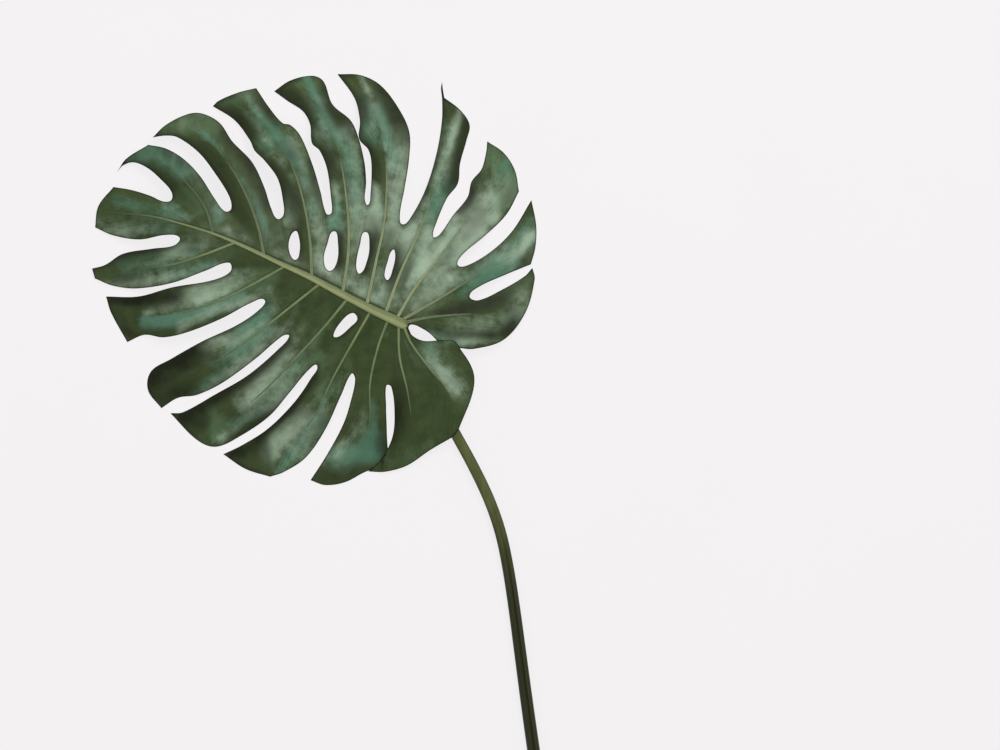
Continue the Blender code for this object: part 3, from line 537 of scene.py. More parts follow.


# Painted sheen and shade on the skin, as soft strokes: pale and teal are painted highlights and reflections,
# fresh is painted light and deep is painted shade. Whose finger and half, its kind, and for each its half
# width, its strength and its line
paintedShading = {
    "tip right": {
        "teal": [(8, 0.58, 112, 200, 150, 210, 175, 214), (10, 0.53, 174, 208, 182, 218)],
        "pale": [(8, 0.33, 162, 205, 205, 226), (11, 0.16, 215, 225, 255, 245),
            (5.5, 0.25, 268, 247, 306, 267), (5.5, 0.49, 317, 270, 339, 283), (7, 0.29, 269, 254, 306, 268),
            (6.5, 0.3, 219, 229, 256, 248), (8, 0.36, 349, 289, 362, 296), (7.5, 0.39, 382, 308, 372, 302)],
    },
    "tip left": {
        "teal": [(4.5, 0.44, 100, 222, 125, 226, 150, 226, 170, 227), (3, 0.62, 146, 231, 178, 231)],
        "pale": [(5, 0.39, 108, 229, 122, 232, 138, 231, 155, 227),
            (7.5, 0.25, 178, 239, 199, 239, 222, 241), (16, 0.21, 95, 225, 135, 234)],
    },
    "upper1": {
        "teal": [(16, 0.55, 135, 157, 150, 152, 165, 157, 180, 168)],
    },
    "upper1 right": {
        "teal": [(16, 0.23, 170, 156, 188, 172, 202, 192, 213, 212, 232, 225),
            (6, 0.46, 219, 205, 218, 232)],
        "deep": [(9, 0.54, 161, 149, 184, 165)],
    },
    "upper1 left": {
        "fresh": [(10, 0.69, 183, 193, 207, 226)],
        "deep": [(9, 0.51, 150, 165, 165, 176, 180, 192, 192, 210)],
    },
    "upper2": {
        "fresh": [(16, 0.57, 160, 130, 178, 124, 198, 120, 215, 128)],
    },
    "upper2 right": {
        "teal": [(5, 0.28, 205, 133, 221, 151, 236, 170, 248, 191, 257, 212, 262, 232),
            (11.5, 0.48, 288, 226, 287, 240), (6, 0.4, 257, 194, 269, 250),
            (4.5, 0.46, 194, 128, 207, 138, 221, 152)],
        "deep": [(11.5, 0.62, 226, 132, 243, 152, 259, 176, 268, 204)],
    },
    "upper2 left": {
        "deep": [(16, 0.47, 180, 133, 200, 146, 218, 168, 245, 230)],
    },
    "upper3": {
        "fresh": [(10, 0.63, 225, 100, 252, 95)],
    },
    "upper3 right": {
        "teal": [(8, 0.59, 246, 100, 270, 130, 290, 162),
            (15, 0.17, 290, 150, 298, 168, 305, 190, 310, 212, 313, 235), (6.5, 0.37, 276, 121, 318, 207),
            (4.5, 0.54, 311, 211, 311, 225)],
        "pale": [(10.5, 0.35, 324, 226, 322, 245, 322, 262), (6.5, 0.16, 316, 200, 319, 235, 318, 272),
            (8.5, 0.25, 290, 128, 307, 172), (6, 0.36, 318, 260, 314, 273), (16, 0.2, 311, 211, 311, 225)],
        "deep": [(6, 0.61, 255, 94, 277, 124), (4, 0.53, 309, 162, 318, 202),
            (9.5, 0.45, 285, 147, 292, 158)],
    },
    "upper3 left": {
        "teal": [(5.5, 0.45, 256, 140, 262, 147, 268, 152), (8, 0.5, 252, 112, 280, 150)],
        "pale": [(7, 0.32, 243, 106, 291, 175), (10, 0.37, 292, 192, 292, 216, 289, 238),
            (3, 0.22, 287, 203, 286, 212, 284, 221)],
        "deep": [(12.5, 0.61, 228, 110, 242, 122, 250, 134),
            (8.5, 0.52, 272, 165, 285, 182, 292, 205, 300, 225), (8.5, 0.47, 295, 191, 301, 202)],
    },
    "upper4": {
        "fresh": [(6.5, 0.77, 300, 82, 312, 84, 322, 98)],
    },
    "upper4 right": {
        "teal": [(5.5, 0.69, 312, 92, 329, 122, 336, 138), (8, 0.58, 342, 132, 350, 150, 355, 172, 357, 215),
            (5.5, 0.37, 340, 138, 343, 153, 346, 176), (4.5, 1, 306, 76, 313, 96)],
        "pale": [(14, 0.37, 358, 205, 359, 220, 352, 260), (12, 0.26, 351, 276, 352, 291),
            (14.5, 0.4, 351, 130, 361, 176), (13, 0.3, 364, 217, 353, 229), (4, 0.47, 348, 280, 348, 290)],
        "deep": [(12.5, 0.6, 326, 92, 334, 108, 352, 130)],
    },
    "upper4 left": {
        "teal": [(4, 0.58, 312, 96, 324, 120), (16, 0.46, 316, 128, 324, 130, 331, 134),
            (11.5, 1, 333, 208, 329, 234)],
        "pale": [(4.5, 0.51, 332, 184, 336, 194), (16, 0.23, 318, 270, 330, 277, 338, 284),
            (16, 0.25, 336, 176, 340, 225, 341, 284), (6, 0.33, 318, 131, 340, 163),
            (11.5, 0.27, 306, 94, 325, 127), (3.5, 0.33, 340, 200, 337, 206, 329, 219)],
        "deep": [(10.5, 0.64, 280, 92, 298, 100, 308, 112), (10.5, 0.55, 324, 144, 332, 158, 337, 176),
            (5.5, 0.65, 341, 235, 341, 255, 339, 272), (5.5, 0.59, 311, 121, 319, 131)],
    },
    "upper5 right": {
        "teal": [(7, 0.74, 376, 105, 383, 122, 396, 170)],
        "pale": [(12, 0.24, 386, 135, 393, 160, 397, 185, 394, 210, 389, 235),
            (7.5, 0.28, 374, 282, 378, 303), (16, 0.27, 396, 200, 373, 300),
            (13.5, 0.39, 403, 132, 402, 180), (7.5, 0.23, 358, 74, 375, 105),
            (3.5, 0.41, 396, 202, 396, 238), (4, 0.49, 395, 208, 389, 226),
            (3, 0.25, 360, 76, 366, 88, 372, 102)],
        "deep": [(16, 0.6, 385, 90, 398, 110, 405, 132), (7, 0.39, 395, 232, 385, 243)],
    },
    "upper5 left": {
        "teal": [(15, 0.55, 366, 106, 369, 120, 366, 130, 372, 136)],
        "pale": [(5.5, 0.64, 371, 184, 380, 228), (11.5, 0.26, 367, 266, 362, 300),
            (11.5, 0.32, 366, 204, 379, 254), (11, 0.14, 371, 119, 379, 149), (5, 0.4, 379, 190, 383, 218),
            (5, 0.51, 370, 215, 369, 232), (6, 0.23, 372, 111, 374, 132), (5, 0.48, 365, 281, 363, 298)],
        "deep": [(9, 0.55, 366, 142, 373, 158, 376, 178), (10.5, 0.49, 372, 222, 367, 275),
            (4, 0.41, 379, 228, 372, 253), (7, 0.74, 361, 99, 365, 117)],
    },
    "upper6": {
        "pale": [(8.5, 0.13, 459, 112, 447, 155), (3.5, 0.37, 451, 124, 450, 142)],
    },
    "upper6 right": {
        "teal": [(16, 0.73, 443, 190, 438, 202, 430, 215)],
        "pale": [(5, 0.56, 412, 275, 422, 252, 430, 228), (16, 0.26, 456, 140, 440, 190, 398, 300),
            (4, 0.48, 459, 110, 436, 188), (7.5, 0.19, 405, 262, 388, 312),
            (3.5, 0.45, 461, 117, 456, 128, 448, 143), (11, 0.31, 425, 236, 416, 253),
            (3.5, 0.27, 394, 299, 388, 311)],
        "deep": [(7.5, 0.7, 466, 115, 464, 135, 458, 155, 456, 175, 448, 190),
            (7, 0.48, 411, 263, 404, 283)],
    },
    "upper6 left": {
        "teal": [(16, 0.33, 446, 130, 444, 148, 438, 168, 431, 190, 420, 212)],
        "pale": [(6.5, 0.57, 447, 150, 435, 186), (6, 0.51, 403, 262, 406, 242, 412, 228),
            (16, 0.47, 426, 208, 398, 246), (15.5, 0.53, 389, 274, 382, 310)],
        "deep": [(10, 0.69, 392, 290, 400, 252)],
    },
    "upper7": {
        "fresh": [(14.5, 0.83, 490, 150, 500, 165, 508, 185, 500, 200)],
        "pale": [(4.5, 0.36, 478, 196, 490, 192, 495, 198)],
    },
    "upper7 right": {
        "teal": [(7.5, 0.76, 504, 158, 505, 173)],
        "pale": [(16, 0.5, 506, 186, 412, 304), (5.5, 0.16, 506, 206, 460, 254),
            (13, 0.2, 472, 241, 434, 274), (4.5, 0.3, 486, 194, 492, 211), (8, 0.39, 496, 220, 484, 230),
            (2.5, 1, 474, 239, 458, 252)],
        "deep": [(10, 0.4, 480, 212, 469, 234), (7.5, 0.4, 513, 182, 504, 205),
            (4.5, 0.45, 450, 252, 444, 261)],
    },
    "upper7 left": {
        "pale": [(16, 0.34, 402, 305, 412, 285, 425, 265, 440, 245, 458, 226),
            (16, 0.28, 496, 168, 451, 228, 410, 286), (4, 0.66, 456, 229, 433, 260),
            (8, 0.65, 415, 272, 428, 264)],
        "deep": [(6.5, 0.53, 480, 174, 466, 197, 458, 208), (7, 0.68, 473, 194, 461, 210)],
    },
    "upper8": {
        "pale": [(12.5, 0.38, 508, 256, 521, 247, 530, 236)],
        "deep": [(7.5, 0.43, 520, 264, 532, 252)],
    },
    "upper8 right": {
        "teal": [(8, 0.71, 462, 292, 480, 280, 515, 262), (15, 0.67, 526, 232, 490, 268)],
        "pale": [(16, 0.17, 527, 255, 484, 273), (8, 0.23, 468, 287, 415, 316),
            (4, 0.83, 533, 233, 522, 250)],
    },
    "upper8 left": {
        "teal": [(7.5, 0.58, 460, 284, 478, 270, 500, 256, 520, 240, 530, 222)],
        "pale": [(8, 0.23, 415, 305, 435, 290, 460, 278), (16, 0.18, 464, 268, 442, 288, 410, 313),
            (4, 0.23, 451, 271, 440, 296), (6.5, 0.29, 445, 276, 459, 284)],
    },
    "upper9 right": {
        "fresh": [(6, 0.51, 440, 320, 470, 320, 505, 318, 520, 310)],
        "teal": [(8, 0.6, 432, 334, 462, 341)],
        "pale": [(4.5, 0.44, 455, 339, 470, 342, 485, 341), (11, 0.2, 425, 327, 472, 326, 519, 316),
            (6, 0.25, 436, 335, 498, 341), (10, 0.39, 524, 302, 512, 320), (9.5, 0.24, 459, 320, 497, 330),
            (4, 0.56, 444, 336, 463, 341), (4.5, 0.16, 505, 308, 495, 323)],
        "deep": [(5, 0.5, 420, 325, 440, 331, 465, 335, 490, 334), (5.5, 0.52, 485, 338, 500, 334, 512, 326),
            (13, 0.54, 514, 315, 513, 327)],
    },
    "upper9 left": {
        "pale": [(15, 0.17, 528, 295, 520, 301, 509, 306), (4.5, 0.13, 530, 277, 522, 290, 505, 295),
            (4, 0.37, 517, 302, 524, 298)],
        "deep": [(6, 0.44, 440, 314, 495, 301, 512, 292), (16, 0.44, 440, 315, 496, 302)],
    },
    "lower8 right": {
        "pale": [(12.5, 0.22, 401, 333, 420, 361)],
    },
    "lower8 left": {
        "teal": [(16, 0.31, 418, 345, 430, 352, 440, 364)],
        "pale": [(8.5, 0.55, 432, 366, 458, 388), (16, 0.2, 428, 345, 448, 372, 466, 400),
            (3, 0.43, 435, 359, 438, 367, 443, 378), (3.5, 0.21, 435, 343, 440, 345, 445, 346)],
        "deep": [(16, 0.51, 461, 452, 485, 488), (4, 0.29, 461, 451, 484, 488)],
    },
    "lower7": {
        "fresh": [(14, 0.4, 395, 464, 430, 448)],
        "deep": [(15, 0.61, 397, 390, 397, 430)],
    },
    "lower7 right": {
        "deep": [(4.5, 0.6, 397, 405, 392, 447)],
    },
    "lower6": {
        "teal": [(12.5, 0.79, 335, 458, 366, 452, 372, 440)],
        "deep": [(16, 0.43, 318, 478, 340, 476, 360, 470)],
    },
    "lower6 right": {
        "pale": [(4.5, 0.34, 336, 455, 346, 442), (8.5, 0.2, 356, 430, 360, 420),
            (11, 0.16, 368, 410, 350, 444), (14.5, 0.25, 322, 455, 352, 469)],
    },
    "lower6 left": {
        "teal": [(6, 0.55, 371, 400, 373, 420, 372, 440, 369, 455)],
        "pale": [(7, 0.28, 390, 323, 385, 333)],
        "deep": [(8, 0.63, 379, 439, 376, 459)],
    },
    "lower5": {
        "fresh": [(16, 0.39, 322, 395, 340, 365)],
    },
    "lower5 right": {
        "fresh": [(4.5, 0.69, 323, 356, 320, 369)],
        "pale": [(12.5, 0.58, 272, 452, 276, 440, 290, 430, 302, 418), (10, 0.19, 322, 390, 270, 463)],
        "deep": [(16, 0.39, 230, 455, 255, 450), (8.5, 0.74, 235, 452, 262, 434, 290, 406, 313, 378),
            (5.5, 0.46, 266, 449, 269, 468), (7.5, 0.42, 310, 413, 296, 414)],
    },
    "lower5 left": {
        "teal": [(10, 0.61, 276, 462, 290, 450, 305, 430, 326, 388), (7.5, 0.4, 325, 424, 280, 470)],
        "pale": [(12.5, 0.21, 346, 372, 324, 420, 280, 470), (11.5, 0.37, 311, 424, 301, 452),
            (5.5, 0.26, 321, 403, 324, 415)],
        "deep": [(8.5, 0.41, 327, 416, 318, 429)],
    },
    "lower4": {
        "fresh": [(10.5, 0.77, 213, 418, 216, 430), (6.5, 0.51, 285, 375, 305, 348, 322, 328)],
    },
    "lower4 right": {
        "pale": [(14, 0.45, 240, 394, 255, 384, 285, 355), (5, 0.47, 246, 404, 262, 389, 278, 371),
            (13.5, 0.21, 299, 322, 286, 352), (6, 0.28, 261, 372, 260, 391)],
        "deep": [(7.5, 0.77, 185, 410, 215, 398, 238, 386, 260, 370, 287, 343),
            (16, 0.73, 180, 415, 200, 420)],
    },
    "lower4 left": {
        "fresh": [(3.5, 0.48, 348, 300, 335, 315, 322, 332), (6.5, 0.87, 320, 355, 306, 362)],
        "teal": [(5, 0.52, 240, 424, 262, 408, 282, 389, 303, 354),
            (10.5, 0.31, 285, 374, 245, 410, 212, 442)],
        "pale": [(16, 0.15, 330, 335, 222, 438), (16, 0.23, 299, 372, 264, 414),
            (5, 0.31, 286, 369, 240, 410), (4, 0.39, 235, 429, 212, 444), (4.5, 0.37, 259, 404, 242, 420),
            (6, 0.46, 290, 383, 271, 410), (2.5, 0.62, 272, 383, 260, 393, 249, 404)],
        "deep": [(8, 0.66, 232, 438.5, 262, 422, 290, 400), (4.5, 0.94, 241, 448, 229, 456)],
    },
    "lower3 right": {
        "teal": [(11, 0.77, 240, 328, 255, 318, 264, 308), (6, 0.76, 268, 321, 229, 350)],
        "pale": [(4, 0.15, 212, 340, 228, 338, 243, 333, 255, 326), (16, 0.28, 278, 308, 206, 357),
            (2.5, 0.39, 263, 324, 250, 333, 234, 346), (8, 0.26, 224, 336, 202, 345)],
        "deep": [(16, 0.65, 152, 385, 175, 368, 200, 355), (6.5, 0.86, 148, 378, 160, 366, 192, 352)],
    },
    "lower3 left": {
        "teal": [(7.5, 0.52, 196, 392, 238, 359, 266, 332), (5.5, 0.5, 275, 320, 212, 364),
            (6.5, 0.8, 264, 328, 237, 354)],
        "pale": [(4, 0.18, 225, 377, 245, 362, 262, 347), (16, 0.08, 296, 315, 208, 378),
            (15, 0.15, 322, 283, 295, 308), (5.5, 0.37, 290, 325, 206, 389), (16, 0.24, 264, 328, 237, 354)],
        "deep": [(16, 0.6, 186, 392, 154, 400)],
    },
    "lower2": {
        "fresh": [(16, 0.64, 205, 305, 266, 278)],
        "deep": [(7, 0.47, 112, 303, 125, 325)],
    },
    "lower2 right": {
        "pale": [(16, 0.29, 198, 297, 232, 282), (4.5, 0.35, 146, 314, 150, 314.5),
            (16, 0.18, 262, 270, 225, 284, 198, 298), (16, 0.24, 206, 287, 152, 313),
            (9.5, 0.17, 188, 303, 151, 315), (4.5, 0.26, 243, 268, 210, 285), (4, 0.73, 227, 293, 199, 300)],
        "deep": [(5, 0.76, 104, 298, 130, 300, 150, 298), (12.5, 0.75, 175, 296, 133, 298)],
    },
    "lower2 left": {
        "teal": [(9, 1, 145, 321, 165, 320, 190, 314, 240, 295)],
        "pale": [(6, 0.4, 180, 323, 205, 315, 225, 306), (8.5, 0.34, 270, 292, 217, 310),
            (4, 0.55, 250, 299, 231, 306), (5.5, 0.3, 206, 311, 179, 332)],
        "deep": [(6.5, 0.58, 119, 330, 137, 337)],
    },
    "lower1": {
        "fresh": [(16, 0.45, 165, 268, 232, 250)],
    },
    "lower1 right": {
        "teal": [(14, 0.44, 122, 262, 145, 259, 190, 250)],
        "pale": [(8.5, 0.54, 168, 249, 182, 252), (16, 0.26, 208, 244, 140, 265)],
        "deep": [(12, 0.61, 118, 255, 165, 247), (6.5, 0.49, 184, 250, 195, 249)],
    },
    "lower1 left": {
        "teal": [(16, 0.37, 128, 274, 160, 271, 200, 262), (2.5, 0.89, 216, 264, 168, 280)],
        "pale": [(4.5, 0.31, 120, 281, 140, 284, 180, 273), (6.5, 0.36, 222, 265, 165, 276, 102, 286)],
        "deep": [(5.5, 0.62, 133, 278, 117, 281)],
    },
}


# How strong each kind of painted sheen and shade is at these points. A stroke's line is x, y, x, y and so
# on.
def paintedShadingAt(points, fields):
    found = {kind: np.zeros(len(points)) for kind in ("pale", "teal", "fresh", "deep")}
    for owner, kinds in paintedShading.items():
        name, *half = owner.split()
        owned = fields["vein"] == veinNames.index(name)
        if half:
            owned &= fields["side"] == (1 if half[0] == "left" else -1)
        for kind, strokes in kinds.items():
            for width, strength, *line in strokes:
                path = fromSheet(np.reshape(line, (-1, 2)))
                away, along, _ = measureToPath(points[owned], path)
                ends = np.sin(math.pi * (0.3 + 0.4 * along / pathLength(path))) ** 0.7
                stroke = strength * ends * np.exp(-((away / width) ** 2.4))
                found[kind][owned] += (1 - found[kind][owned]) * stroke
    return found


# Each point's value drawn towards its neighbours' mean, so many times over
def evenedOut(values, edges, rounds):
    ends, others = edges.T.ravel(), edges[:, ::-1].T.ravel()
    uses = np.bincount(ends, minlength=len(values))
    for _ in range(rounds):
        values = 0.5 * values + 0.5 * np.bincount(ends, values[others], len(values)) / uses
    return values


def storeField(mesh, name, values):
    kind, key = ("FLOAT", "value") if np.ndim(values) == 1 else ("FLOAT_VECTOR", "vector")
    mesh.attributes.new(name, kind, "POINT").data.foreach_set(key, np.asarray(values, np.float32).ravel())


# What the blade's skin is coloured by: the same on both faces, but for which face it is
def storeBladeFields(mesh, points, fields, edges, toEdge):
    plan = bladePlan
    everywhere, besideRib, shade = plan["evening"]
    along, near, fromRib = fields["along"], fields["near"], fields["fromRib"]
    slant = math.radians(plan["nerveSlant"])
    beyondRib = -fromRib * fields["ribSide"] - ribHalfWidth(fields["ribShare"])
    darkSide = np.array([plan["darkSide"].get(name, 0) for name in veinNames])
    shaded = (fields["side"] == darkSide[fields["vein"]]).astype(float)
    stored = {
        "near": near, "share": fields["veinShare"], "edge": toEdge, "ribShare": fields["ribShare"],
        "beyondRib": beyondRib, "shaded": evenedOut(shaded, edges, shade),
        "flow": np.column_stack([along * math.cos(slant) + near * math.sin(slant),
                                 near * math.cos(slant) - along * math.sin(slant),
                                 fields["vein"] * plan["nerveShift"]]),
    }
    # the painted sheen and shade, evened out more beside the midrib
    ribsideShare = 1 - smoothRise(*plan["shadingBesideRib"], np.abs(fromRib))
    for kind, values in paintedShadingAt(points, fields).items():
        evened = evenedOut(values, edges, everywhere)
        stored[kind] = evened + (evenedOut(evened, edges, besideRib) - evened) * ribsideShare
    for name, values in stored.items():
        storeField(mesh, name, np.concatenate([values, values]))
    storeField(mesh, "under", np.repeat([0.0, 1.0], len(points)))


# The blade as one closed sheet: both faces are split alike, and the rim joins them
def makeBlade(material):
    plan = bladePlan
    corners = [run[0] for run in edgeRuns[1:] + edgeRuns[:1]]
    outline = np.vstack([curveThrough(fromSheet([*run, corner]), plan["edgeStep"])
                         for run, corner in zip(edgeRuns, corners)])
    loops = [outline, *(curveThrough(fromSheet(hole), plan["edgeStep"], closed=True) for hole in holeLoops)]
    points, triangles = trianglesBetween(loops, bladePoints(loops))
    count = len(points)
    fields = leafFields(points)
    spots = points + fields["shift"]
    toEdge = distanceToEdges(points, loops)

    (ax, ay), (bx, by), (cx, cy) = points[triangles].transpose(1, 2, 0)
    flipped = (bx - ax) * (cy - ay) - (by - ay) * (cx - ax) < 0
    triangles[flipped] = triangles[flipped][:, ::-1]

    # Slope of the sheet, for its thickness square to itself
    height = fields["height"]
    sheet = bpy.data.meshes.new("bladeSheet")
    sheet.from_pydata(np.column_stack([spots, height]), [], triangles.tolist())
    normals = np.zeros(count * 3, np.float32)
    sheet.vertex_normals.foreach_get("vector", normals)
    bpy.data.meshes.remove(sheet)
    upright = np.clip(np.abs(normals[2::3]), plan["steepest"], 1)
    rim = smoothRise(0, plan["edgeReach"], toEdge)
    thickness = plan["edgeThickness"] + (plan["thickness"] - plan["edgeThickness"]) * rim
    below = np.maximum(height - thickness / upright, 0)
    fromHub = np.hypot(*(points - fromSheet(plan["hub"])).T)
    pad = height[np.argmin(fromHub)] - plan["padThickness"]
    padShare = 1 - smoothRise(*(plan["padRadius"] * fade for fade in plan["padFade"]), fromHub)
    below = below * (1 - padShare) + pad * padShare
    top = np.maximum(height, below + plan["leastThickness"])

    # The rim starts from the sheet's open edges, those that only one triangle has
    edges = np.vstack([triangles[:, [0, 1]], triangles[:, [1, 2]], triangles[:, [2, 0]]])
    key = np.sort(edges, axis=1) @ (count, 1)
    _, index, uses = np.unique(key, return_index=True, return_counts=True)
    faces = triangles.tolist() + (triangles[:, ::-1] + count).tolist()
    for a, b in edges[index[uses == 1]]:
        faces += [(b, a, a + count), (b, a + count, b + count)]
    mesh = bpy.data.meshes.new("blade")
    upper, lower = (np.column_stack([spots, level]) * mm for level in (top, below))
    mesh.from_pydata(np.vstack([upper, lower]), [], faces)
    mesh.validate()
    storeBladeFields(mesh, points, fields, edges, toEdge)
    mesh.materials.append(material)
    mesh.shade_smooth()
    mesh.set_sharp_from_angle(angle=math.radians(60))
    blade = bpy.data.objects.new("bladeSkin", mesh)
    bpy.context.scene.collection.objects.link(blade)
    print("blade:", len(faces), "triangles, pad at", round(float(pad), 2), "mm")
    return blade, float(pad)


# Stalks and veins: one Geometry Nodes tree sweeps a round or grooved profile along each line
def sweepTree(name, material):
    tree = bpy.data.node_groups.new(name, "GeometryNodeTree")
    tree.interface.new_socket("Geometry", in_out="INPUT", socket_type="NodeSocketGeometry")
    for label, kind, value in (("Step", "Float", 0.002), ("Sides", "Int", 12), ("Flatness", "Float", 1.0),
                               ("Groove Depth", "Float", 0.0), ("Groove Width", "Float", 0.4)):
        socket = tree.interface.new_socket(label, in_out="INPUT", socket_type="NodeSocket" + kind)
        socket.default_value = value
    tree.interface.new_socket("Geometry", in_out="OUTPUT", socket_type="NodeSocketGeometry")

    # settings come first, because some of them make a node's sockets
    def add(kind, values, out=0, **settings):
        node = tree.nodes.new(kind)
        for key, value in settings.items():
            setattr(node, key, value)
        for key, value in values.items() if isinstance(values, dict) else enumerate(values):
            if isinstance(value, bpy.types.NodeSocket):
                tree.links.new(value, node.inputs[key])
            else:
                node.inputs[key].default_value = value
        return node.outputs[out] if node.outputs else node

    def sums(operation, *values):
        return add("ShaderNodeMath", values, operation=operation)

    given = tree.nodes.new("NodeGroupInput").outputs
    line = add("GeometryNodeMeshToCurve", {"Mesh": given["Geometry"]}, "Curve")
    even = add("GeometryNodeResampleCurve", {"Curve": line, "Length": given["Step"]}, "Curve", mode="LENGTH")
    upright = add("GeometryNodeSetCurveNormal", {"Curve": even}, "Curve", mode="Z_UP")
    width = add("GeometryNodeInputNamedAttribute", {"Name": "width"}, "Attribute", data_type="FLOAT")

    # Profile: a circle of radius 1, flattened, with a groove on its upper side
    circle = add("GeometryNodeCurvePrimitiveCircle", {"Radius": 1.0, "Resolution": given["Sides"]}, "Curve")
    spot = tree.nodes.new("ShaderNodeSeparateXYZ")
    tree.links.new(add("GeometryNodeInputPosition", {}), spot.inputs["Vector"])
    across, up = spot.outputs["X"], spot.outputs["Y"]
    angle = sums("ARCTAN2", across, sums("MULTIPLY", up, -1.0))
    turned = sums("DIVIDE", angle, given["Groove Width"])
    bell = sums("EXPONENT", sums("MULTIPLY", sums("MULTIPLY", turned, turned), -1.0))
    reach = sums("SUBTRACT", 1.0, sums("MULTIPLY", bell, given["Groove Depth"]))
    flattened = sums("MULTIPLY", sums("MULTIPLY", up, reach), given["Flatness"])
    shaped = add("ShaderNodeCombineXYZ", {"X": sums("MULTIPLY", across, reach), "Y": flattened})
    profile = add("GeometryNodeSetPosition", {"Geometry": circle, "Position": shaped})
    turn = add("GeometryNodeStoreNamedAttribute", {"Geometry": profile, "Name": "turn", "Value": angle},
               data_type="FLOAT")
    swept = add("GeometryNodeCurveToMesh", {"Curve": upright, "Profile Curve": turn, "Scale": width,
                                            "Fill Caps": True})
    plain = add("GeometryNodeRealizeInstances", {"Geometry": swept})
    painted = add("GeometryNodeSetMaterial", {"Geometry": plain, "Material": material})
    add("NodeGroupOutput", {"Geometry": painted})
    return tree


# lines: for each, points in millimetres, half widths and how bright it is
def sweptPiece(name, lines, material, **sizes):
    points, edges = [], []
    stored = {"width": [], "run": [], "share": [], "glow": []}
    for path, width, glow in lines:
        start = len(points)
        run = distancesAlong(path)
        points += [tuple(point) for point in np.asarray(path) * mm]
        edges += [(start + i, start + i + 1) for i in range(len(path) - 1)]
        stored["width"] += list(np.asarray(width) * mm)
        stored["run"] += list(run)
        stored["share"] += list(run / run[-1])
        stored["glow"] += [glow] * len(path)
    mesh = bpy.data.meshes.new(name)
    mesh.from_pydata(points, edges, [])
    for field, values in stored.items():
        storeField(mesh, field, values)
    holder = bpy.data.objects.new(name + "Lines", mesh)
    bpy.context.scene.collection.objects.link(holder)
    modifier = holder.modifiers.new("sweep", "NODES")
    modifier.node_group = sweepTree(name + "Sweep", material)
    for item in modifier.node_group.interface.items_tree:
        if item.item_type == "SOCKET" and item.in_out == "INPUT" and item.name in sizes:
            modifier[item.identifier] = sizes[item.name]
    bpy.context.view_layer.update()
    made = bpy.data.meshes.new_from_object(holder.evaluated_get(bpy.context.evaluated_depsgraph_get()))
    bpy.data.objects.remove(holder)
    made.name = name
    body = bmesh.new()
    body.from_mesh(made)
    bmesh.ops.remove_doubles(body, verts=body.verts, dist=1e-7)
    bmesh.ops.recalc_face_normals(body, faces=body.faces)
    body.to_mesh(made)
    body.free()
    made.shade_smooth()
    made.set_sharp_from_angle(angle=math.radians(50))
    piece = bpy.data.objects.new(name, made)
    bpy.context.scene.collection.objects.link(piece)
    print(name + ":", len(made.polygons), "faces")
    return piece


veinPlan = {
    "upper": {"rootHalfWidth": 1.6, "tipHalfWidth": 0.3, "flatness": 0.5, "groove": (0.45, 0.5),
              "colours": ((136, 148, 104), (152, 162, 120))},
    "lower": {"rootHalfWidth": 1.4, "tipHalfWidth": 0.5, "flatness": 0.6, "groove": (0.0, 0.5),
              "colours": ((112, 128, 88), (128, 142, 102))},
    "glow": {"upper1": 0.05, "upper2": 0.25, "upper3": 0.55, "upper4": 0.85, "upper8": 0.6, "upper9": 0.35},
    "aside": {"lower2": 1.1, "lower3": 1.2, "lower4": 1.3, "lower5": 0.7, "lower7": 0.6, "upper6": -0.6},
    "leftOff": 4,            # points at the far end without a raised vein
    "taper": 1.3,
    "sunk": 0.2,
    "tipSunk": 0.5,
    "sinking": (0.55, 0.9),
    "underShare": 1.3,       # how much wider the veins are on the underside
    "underDepth": 1.08,
    "underHeights": (1.2, 0.5),      # over the surface, and under the blade's upper face, at the least
    "step": 3.0,
    "sides": 20,
}


# A flat path laid on the blade: its place and the height of the upper face
def surfaceLine(path):
    fields = leafFields(path)
    return path + fields["shift"], fields["height"]


def makeVeins():
    plan, under, pieces = veinPlan, [], []
    aboveFloor, belowFace = plan["underHeights"]
    for half in ("upper", "lower"):
        sizes, over = plan[half], []
        rootWidth, tipWidth = sizes["rootHalfWidth"], sizes["tipHalfWidth"]
        for name in veinNames:
            if not name.startswith(half):
                continue
            path = veinPath(name, plan["step"])[: -plan["leftOff"]]
            path = beside(path, plan["aside"].get(name, 0))
            share = np.linspace(0, 1, len(path))
            width = tipWidth + (rootWidth - tipWidth) * (1 - share) ** plan["taper"]
            spots, height = surfaceLine(path)
            sunk = plan["sunk"] + plan["tipSunk"] * smoothRise(*plan["sinking"], share)
            over.append((np.column_stack([spots, height - sunk]), width, plan["glow"].get(name, 1)))
            low = np.minimum(np.maximum(height - plan["underDepth"], aboveFloor), height - belowFace)
            under.append((np.column_stack([spots, low]), width * plan["underShare"], 1))
        depth, turn = sizes["groove"]
        material = makeVeinSkin(half)
        pieces.append(sweptPiece(half + "Veins", over, material, **{
            "Step": 0.0012, "Sides": plan["sides"], "Flatness": sizes["flatness"], "Groove Depth": depth,
            "Groove Width": turn}))
    # the underside's veins wear the lower veins' skin
    pieces.append(sweptPiece("underVeins", under, material, Step=0.003, Sides=10, Flatness=0.6))
    return pieces


midribPlan = {
    "lead": (3.8, 3.5, 2.8, 1.6),     # points past the hub's end
    "leftOff": 3,
    "roundEnd": 5.5,
    "lean": 1.0,           # the band's shift towards its lower side, and where it comes and goes
    "leaning": ((0.0, 0.12), (0.35, 0.6)),
    "flatness": 0.36,
    "proud": 1.5,          # how far the band stands over the blade at the hub
    "fade": 0.85,          # how much of its rise, width and depth is gone at the tip
    "keelHalfWidth": 3.7,
    "keelDrop": 3.2,
    "keelEnd": 0.3,        # its least width at the hub's end, as a share
    "keelClearance": 0.2,
    "step": 3.0,
}


